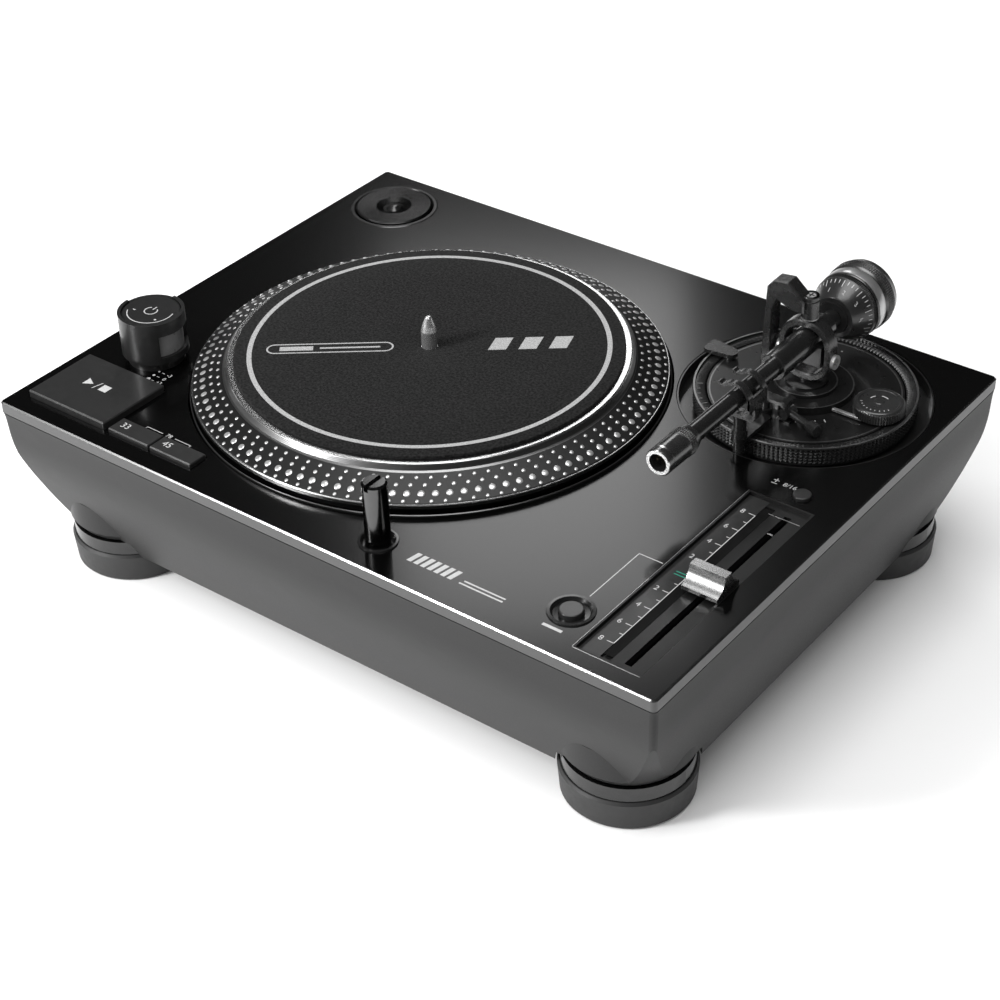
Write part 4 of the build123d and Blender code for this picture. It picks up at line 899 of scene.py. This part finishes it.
def weight_dial():
    low, high = span("weight_dial")
    axis = middle("arm_tube")
    front, back = low.y, high.y
    teeth = flutes(120, back - 2.9, back - 0.5, 0.3)
    profile = [(7.5, front), (9.5, front), (10.1, front + 0.5), (12.5, front + 4.7), (14.9, front + 8.9),
               (15.1, front + 9.2), *steps_between(15.1, front + 9.5, back - 0.6, 6), (14.9, back - 0.1), (7.5, back)]
    dial = add_piece("graduated_dial", lathe((axis.x, 0, axis.z), profile, "Y", 480, teeth), "force_dial",
                     MATERIALS["dial_black"], 25)
    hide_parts("weight_dial")
    slope = (14.9 - 10.1) / (8.9 - 0.5)
    place = on_arm(lambda y: 10.1 + (y - front - 0.5) * slope)
    marks = []
    for index in range(40):
        turn = -math.pi + 2 * math.pi * index / 40
        long = index % 4 == 0
        near = front + (5.6 if long else 6.9)
        points = []
        for y, share in ((near, 1.0), (front + 8.5, 1.0)):
            scale = (10.1 + (y - front - 0.5) * slope)
            points.append((turn * scale, y))
        (xa, ya), (xb, yb) = points
        marks.append(bent(prism([(xa - 0.13, ya), (xa + 0.13, ya), (xb + 0.16, yb), (xb - 0.16, yb)], -0.02, 0.06),
                          place))
    for index, text in enumerate(("0", "1", "2", "3", "4")):
        scale = 10.1 + (3.5 - 0.5) * slope
        turn = -1.05 + index * 2 * math.pi / 10
        marks.append(bent(numeral(text, turn * scale, front + 3.4, 2.6, 0.09), place))
    return printed("dial_print", marks, "force_dial")


def bent_clip():
    """Arm rest: an upright strap beside the tube with two bands over it, flared where the arm comes in."""
    low, high = span("arm_clip")
    axis = middle("arm_tube")
    centre_y = (low.y + high.y) / 2
    right = high.x - 0.9
    reach = right - axis.x - 0.2
    def band(y0, y1, tilt):
        path = [(right - 0.2, axis.z - 3.0), (right - 0.1, axis.z)]
        path += [(axis.x + reach * math.cos(math.radians(a)), axis.z + 7.5 * math.sin(math.radians(a)))
                 for a in range(15, 136, 12)]
        x, z = path[-1]
        path += [(x - 1.2, z - 0.1), (x - 2.2, z + 0.5), (x - 2.7, z + 1.2 + tilt)]
        return sliced(strip_outline(path, 1.2), "Y", y0, y1)
    def cradle(y0, y1):
        path = [(right - 0.1, axis.z)]
        path += [(axis.x + reach * math.cos(math.radians(a)), axis.z + 7.2 * math.sin(math.radians(a)))
                 for a in range(-12, -125, -12)]
        return sliced(strip_outline(path, 1.2), "Y", y0, y1)
    upright = [(right - 0.3, axis.z + 0.6), (right, axis.z - 2.0), (right, low.z + 2.6), (right - 0.5, low.z + 1.4),
               (right - 1.6, low.z + 0.8), (low.x + 3.4, low.z + 0.7)]
    parts = [band(low.y + 0.1, low.y + 3.4, 0.0), band(high.y - 3.0, high.y - 0.1, 0.0),
             cradle(low.y + 0.5, low.y + 3.0), cradle(high.y - 2.8, high.y - 0.4),
             sliced(strip_outline(upright, 1.3), "Y", centre_y - 2.6, centre_y + 3.1),
             sliced(strip_outline([(right - 0.05, axis.z + 2.4), (right - 0.05, axis.z - 4.6)], 1.1), "Y", low.y + 0.1,
                    high.y - 0.1)]
    clip = add_piece("bent_clip", merged(*parts), "arm_base", MATERIALS["gimbal_metal"], 30)
    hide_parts("arm_clip")
    pin = [(0, 0.0), (0.85, 0.0), (0.85, 0.5), (0.6, 0.8), (0, 0.9)]
    add_piece("clip_pin", lathe((low.x + 4.6, centre_y, low.z + 1.3), pin, steps=24), "arm_base",
              BRIGHT)


def gimbal_parts():
    """Bevelled arch with its upper bearing and the bearing's screw head; the strap that swings inside it is made in
    swinging_strap.
    """
    low, high = span("gimbal_arch")
    axis = middle("arm_tube")
    pivot_y = middle("gimbal_ring").y
    left, floor_z, roof = low.x, low.z, high.z
    arch = [(left, floor_z), (left + 0.7, floor_z + 23.0), (left + 1.9, roof - 5.2), (left + 5.2, roof - 1.0),
            (left + 12.2, roof - 0.05), (left + 18.6, roof - 5.6), (left + 20.2, roof - 8.0),
            (left + 20.4, roof - 13.2), (left + 13.6, roof - 13.2), (left + 9.4, roof - 11.4),
            (left + 7.2, roof - 10.4), (left + 5.4, roof - 14.6), (left + 5.0, roof - 18.0), (left + 5.0, floor_z)]
    top = roof - 5.9
    bearing = [(2.06, top - 11.3), (3.6, top - 11.3), (3.9, top - 11.0), (3.9, top - 2.6), (3.55, top - 2.2),
               (3.55, top - 1.6), (3.85, top - 1.3), (3.85, top - 0.4), (3.5, top), (2.5, top), (2.3, top - 0.6),
               (0.5, top - 0.6), (0.5, top - 7.3), (2.06, top - 7.3)]
    parts = [chamfered(arch, "Y", low.y, low.y + 7.5, 0.6), lathe((axis.x, pivot_y, 0), bearing, steps=64)]
    piece = add_piece("bevelled_arch", merged(*parts), "arm_base", MATERIALS["gimbal_metal"], 28)
    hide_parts("gimbal_arch")
    # the bearing screw's cross slot is a flat black cross: painted shade in place of a recessed slot
    cross = [bar(axis.x - 1.7, pivot_y, axis.x + 1.7, pivot_y, 0.6, top - 0.2),
             bar(axis.x, pivot_y - 1.7, axis.x, pivot_y + 1.7, 0.6, top - 0.2)]
    add_piece("bearing_cross", merged(*cross), "arm_base", SHADE_BLACK)
    cap = [(0, top - 0.65), (2.25, top - 0.65), (2.25, top - 0.4), (2.05, top - 0.25), (0, top - 0.2)]
    add_piece("bearing_cap", lathe((axis.x, pivot_y, 0), cap, steps=48), "arm_base", SCREW)
    rim = ring_arc(axis.x, pivot_y, 2.55, 3.5, 0, 360, 64, top - 0.03, top)
    add_piece("bearing_rim", rim, "arm_base", SCREW)
    collar = ring_arc(axis.x, pivot_y, 3.6, 3.9, 0, 360, 64, top - 11.2, top - 10.6)
    add_piece("bearing_band", collar, "arm_base", SCREW)


def swinging_strap():
    low, high = span("gimbal_ring")
    ring_low = high.z - 32.9
    pin_top = high.z
    centre_y = (low.y + high.y) / 2
    axis = middle("arm_tube")
    half_y = (high.y - low.y) / 2
    path = rounded_rectangle((low.x + 1.6, ring_low + 1.5), (high.x - 1.6, pin_top - 5.6), 9.9)
    e = 0.55
    section = [(1.6 - e, -half_y), (1.6, -half_y + e), (1.6, half_y - e), (1.6 - e, half_y), (-1.6 + e, half_y),
               (-1.6, half_y - e), (-1.6, -half_y + e), (-1.6 + e, -half_y)]
    pins = [lathe((axis.x, centre_y, 0), [(0, low.z), (2.7, low.z), (3.0, low.z + 0.3), (3.0, ring_low + 0.4),
                                          (2.4, ring_low + 1.4), (0, ring_low + 1.4)], steps=40),
            lathe((axis.x, centre_y, 0), [(0, pin_top - 6.0), (2.0, pin_top - 6.0), (2.0, pin_top - 0.3),
                                          (1.7, pin_top), (0, pin_top)], steps=40)]
    piece = add_piece("bevelled_strap", merged(looped(path, section, centre_y), *pins), "gimbal",
                      MATERIALS["gimbal_metal"], 28)
    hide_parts("gimbal_ring")


deck_print()
fader_scale()
button_marks()
tower_marks()
knurled_height_ring()
arm_base_trim()
fluted_skate_knob()
headshell_collar()
counterweight()
weight_dial()
bent_clip()
gimbal_parts()
swinging_strap()

# ---------------------------------------------------------------- studio
def floor():
    mesh = bpy.data.meshes.new("floor")
    half, steps = 6.0, 24
    points = [(half * (2 * i / steps - 1), half * (2 * j / steps - 1), 0.0)
              for j in range(steps + 1) for i in range(steps + 1)]
    faces = [(j * (steps + 1) + i, j * (steps + 1) + i + 1, (j + 1) * (steps + 1) + i + 1, (j + 1) * (steps + 1) + i)
             for j in range(steps) for i in range(steps)]
    mesh.from_pydata(points, [], faces)
    mesh.materials.append(finish_material("pale_floor", 0.93, 0.6, scale=2.0, spread=0.005, grain=(400.0, 0.01)))
    ground = bpy.data.objects.new("floor", mesh)
    bpy.context.scene.collection.objects.link(ground)


def soft_light(name, azimuth, elevation, distance, width, height, power):
    """Soft box that looks at the deck from a bearing: azimuth 0 is in front, 90 to the right."""
    lamp = bpy.data.lights.new(name, "AREA")
    lamp.shape = "RECTANGLE"
    lamp.size = width
    lamp.size_y = height
    lamp.energy = power
    holder = bpy.data.objects.new(name, lamp)
    a, e = math.radians(azimuth), math.radians(elevation)
    out = Vector((math.sin(a) * math.cos(e), -math.cos(a) * math.cos(e), math.sin(e)))
    holder.location = Vector((0, 0, TOP)) + out * distance
    holder.rotation_euler = (-out).to_track_quat("-Z", "Y").to_euler()
    bpy.context.scene.collection.objects.link(holder)


def studio_world():
    """Pale surroundings for the floor and soft fill, dark ones for reflections."""
    world = bpy.data.worlds.new("studio")
    world.use_nodes = True
    nodes, links = world.node_tree.nodes, world.node_tree.links
    nodes.clear()
    out = nodes.new("ShaderNodeOutputWorld")
    pale, dim = nodes.new("ShaderNodeBackground"), nodes.new("ShaderNodeBackground")
    pale.inputs["Color"].default_value = (1, 1, 1, 1)
    facing = nodes.new("ShaderNodeTexCoord")
    dot_product = nodes.new("ShaderNodeVectorMath")
    dot_product.operation = "DOT_PRODUCT"
    dot_product.inputs[1].default_value = (-0.5, -0.72, 0.48)
    links.new(facing.outputs["Generated"], dot_product.inputs[0])
    fade = nodes.new("ShaderNodeMapRange")
    fade.inputs["From Min"].default_value = -0.55
    fade.inputs["From Max"].default_value = 1.0
    fade.inputs["To Min"].default_value = 0.0
    fade.inputs["To Max"].default_value = 1.2
    links.new(dot_product.outputs["Value"], fade.inputs["Value"])
    links.new(fade.outputs["Result"], pale.inputs["Strength"])
    dim.inputs["Color"].default_value = (1, 1, 1, 1)
    dim.inputs["Strength"].default_value = 0.03
    path = nodes.new("ShaderNodeLightPath")
    mix = nodes.new("ShaderNodeMixShader")
    links.new(path.outputs["Is Glossy Ray"], mix.inputs["Fac"])
    links.new(pale.outputs["Background"], mix.inputs[1])
    links.new(dim.outputs["Background"], mix.inputs[2])
    links.new(mix.outputs["Shader"], out.inputs["Surface"])
    bpy.context.scene.world = world


CAMERA_AT = (0.5138, -0.6472, TOP + 0.5291)
CAMERA_AZIMUTH, CAMERA_ELEVATION, CAMERA_ROLL = 38.465, 35.52, -1.909
LENS = 79.26


def camera():
    a, e, r = (math.radians(angle) for angle in (CAMERA_AZIMUTH, CAMERA_ELEVATION, CAMERA_ROLL))
    ahead = Vector((-math.sin(a) * math.cos(e), math.cos(a) * math.cos(e), -math.sin(e)))
    level = ahead.cross(Vector((0, 0, 1))).normalized()
    upright = level.cross(ahead)
    right = level * math.cos(r) + upright * math.sin(r)
    up = right.cross(ahead)
    data = bpy.data.cameras.new("camera")
    data.sensor_width = 36.0
    data.lens = LENS
    holder = bpy.data.objects.new("camera", data)
    turn = Matrix((right, up, -ahead)).transposed()
    holder.matrix_world = Matrix.Translation(CAMERA_AT) @ turn.to_4x4()
    bpy.context.scene.collection.objects.link(holder)
    bpy.context.scene.camera = holder


floor()
studio_world()
soft_light("key", -31, 28, 1.6, 0.30, 0.30, 21.0)
soft_light("overhead", 20, 84, 1.8, 1.2, 1.2, 21.0)
soft_light("back_strip", 216.5, 35.5, 1.7, 0.36, 0.44, 2.2)
soft_light("edge_strip", -43, 42, 1.5, 0.30, 0.20, 3.0)
camera()
bpy.context.scene.view_settings.view_transform = "Standard"
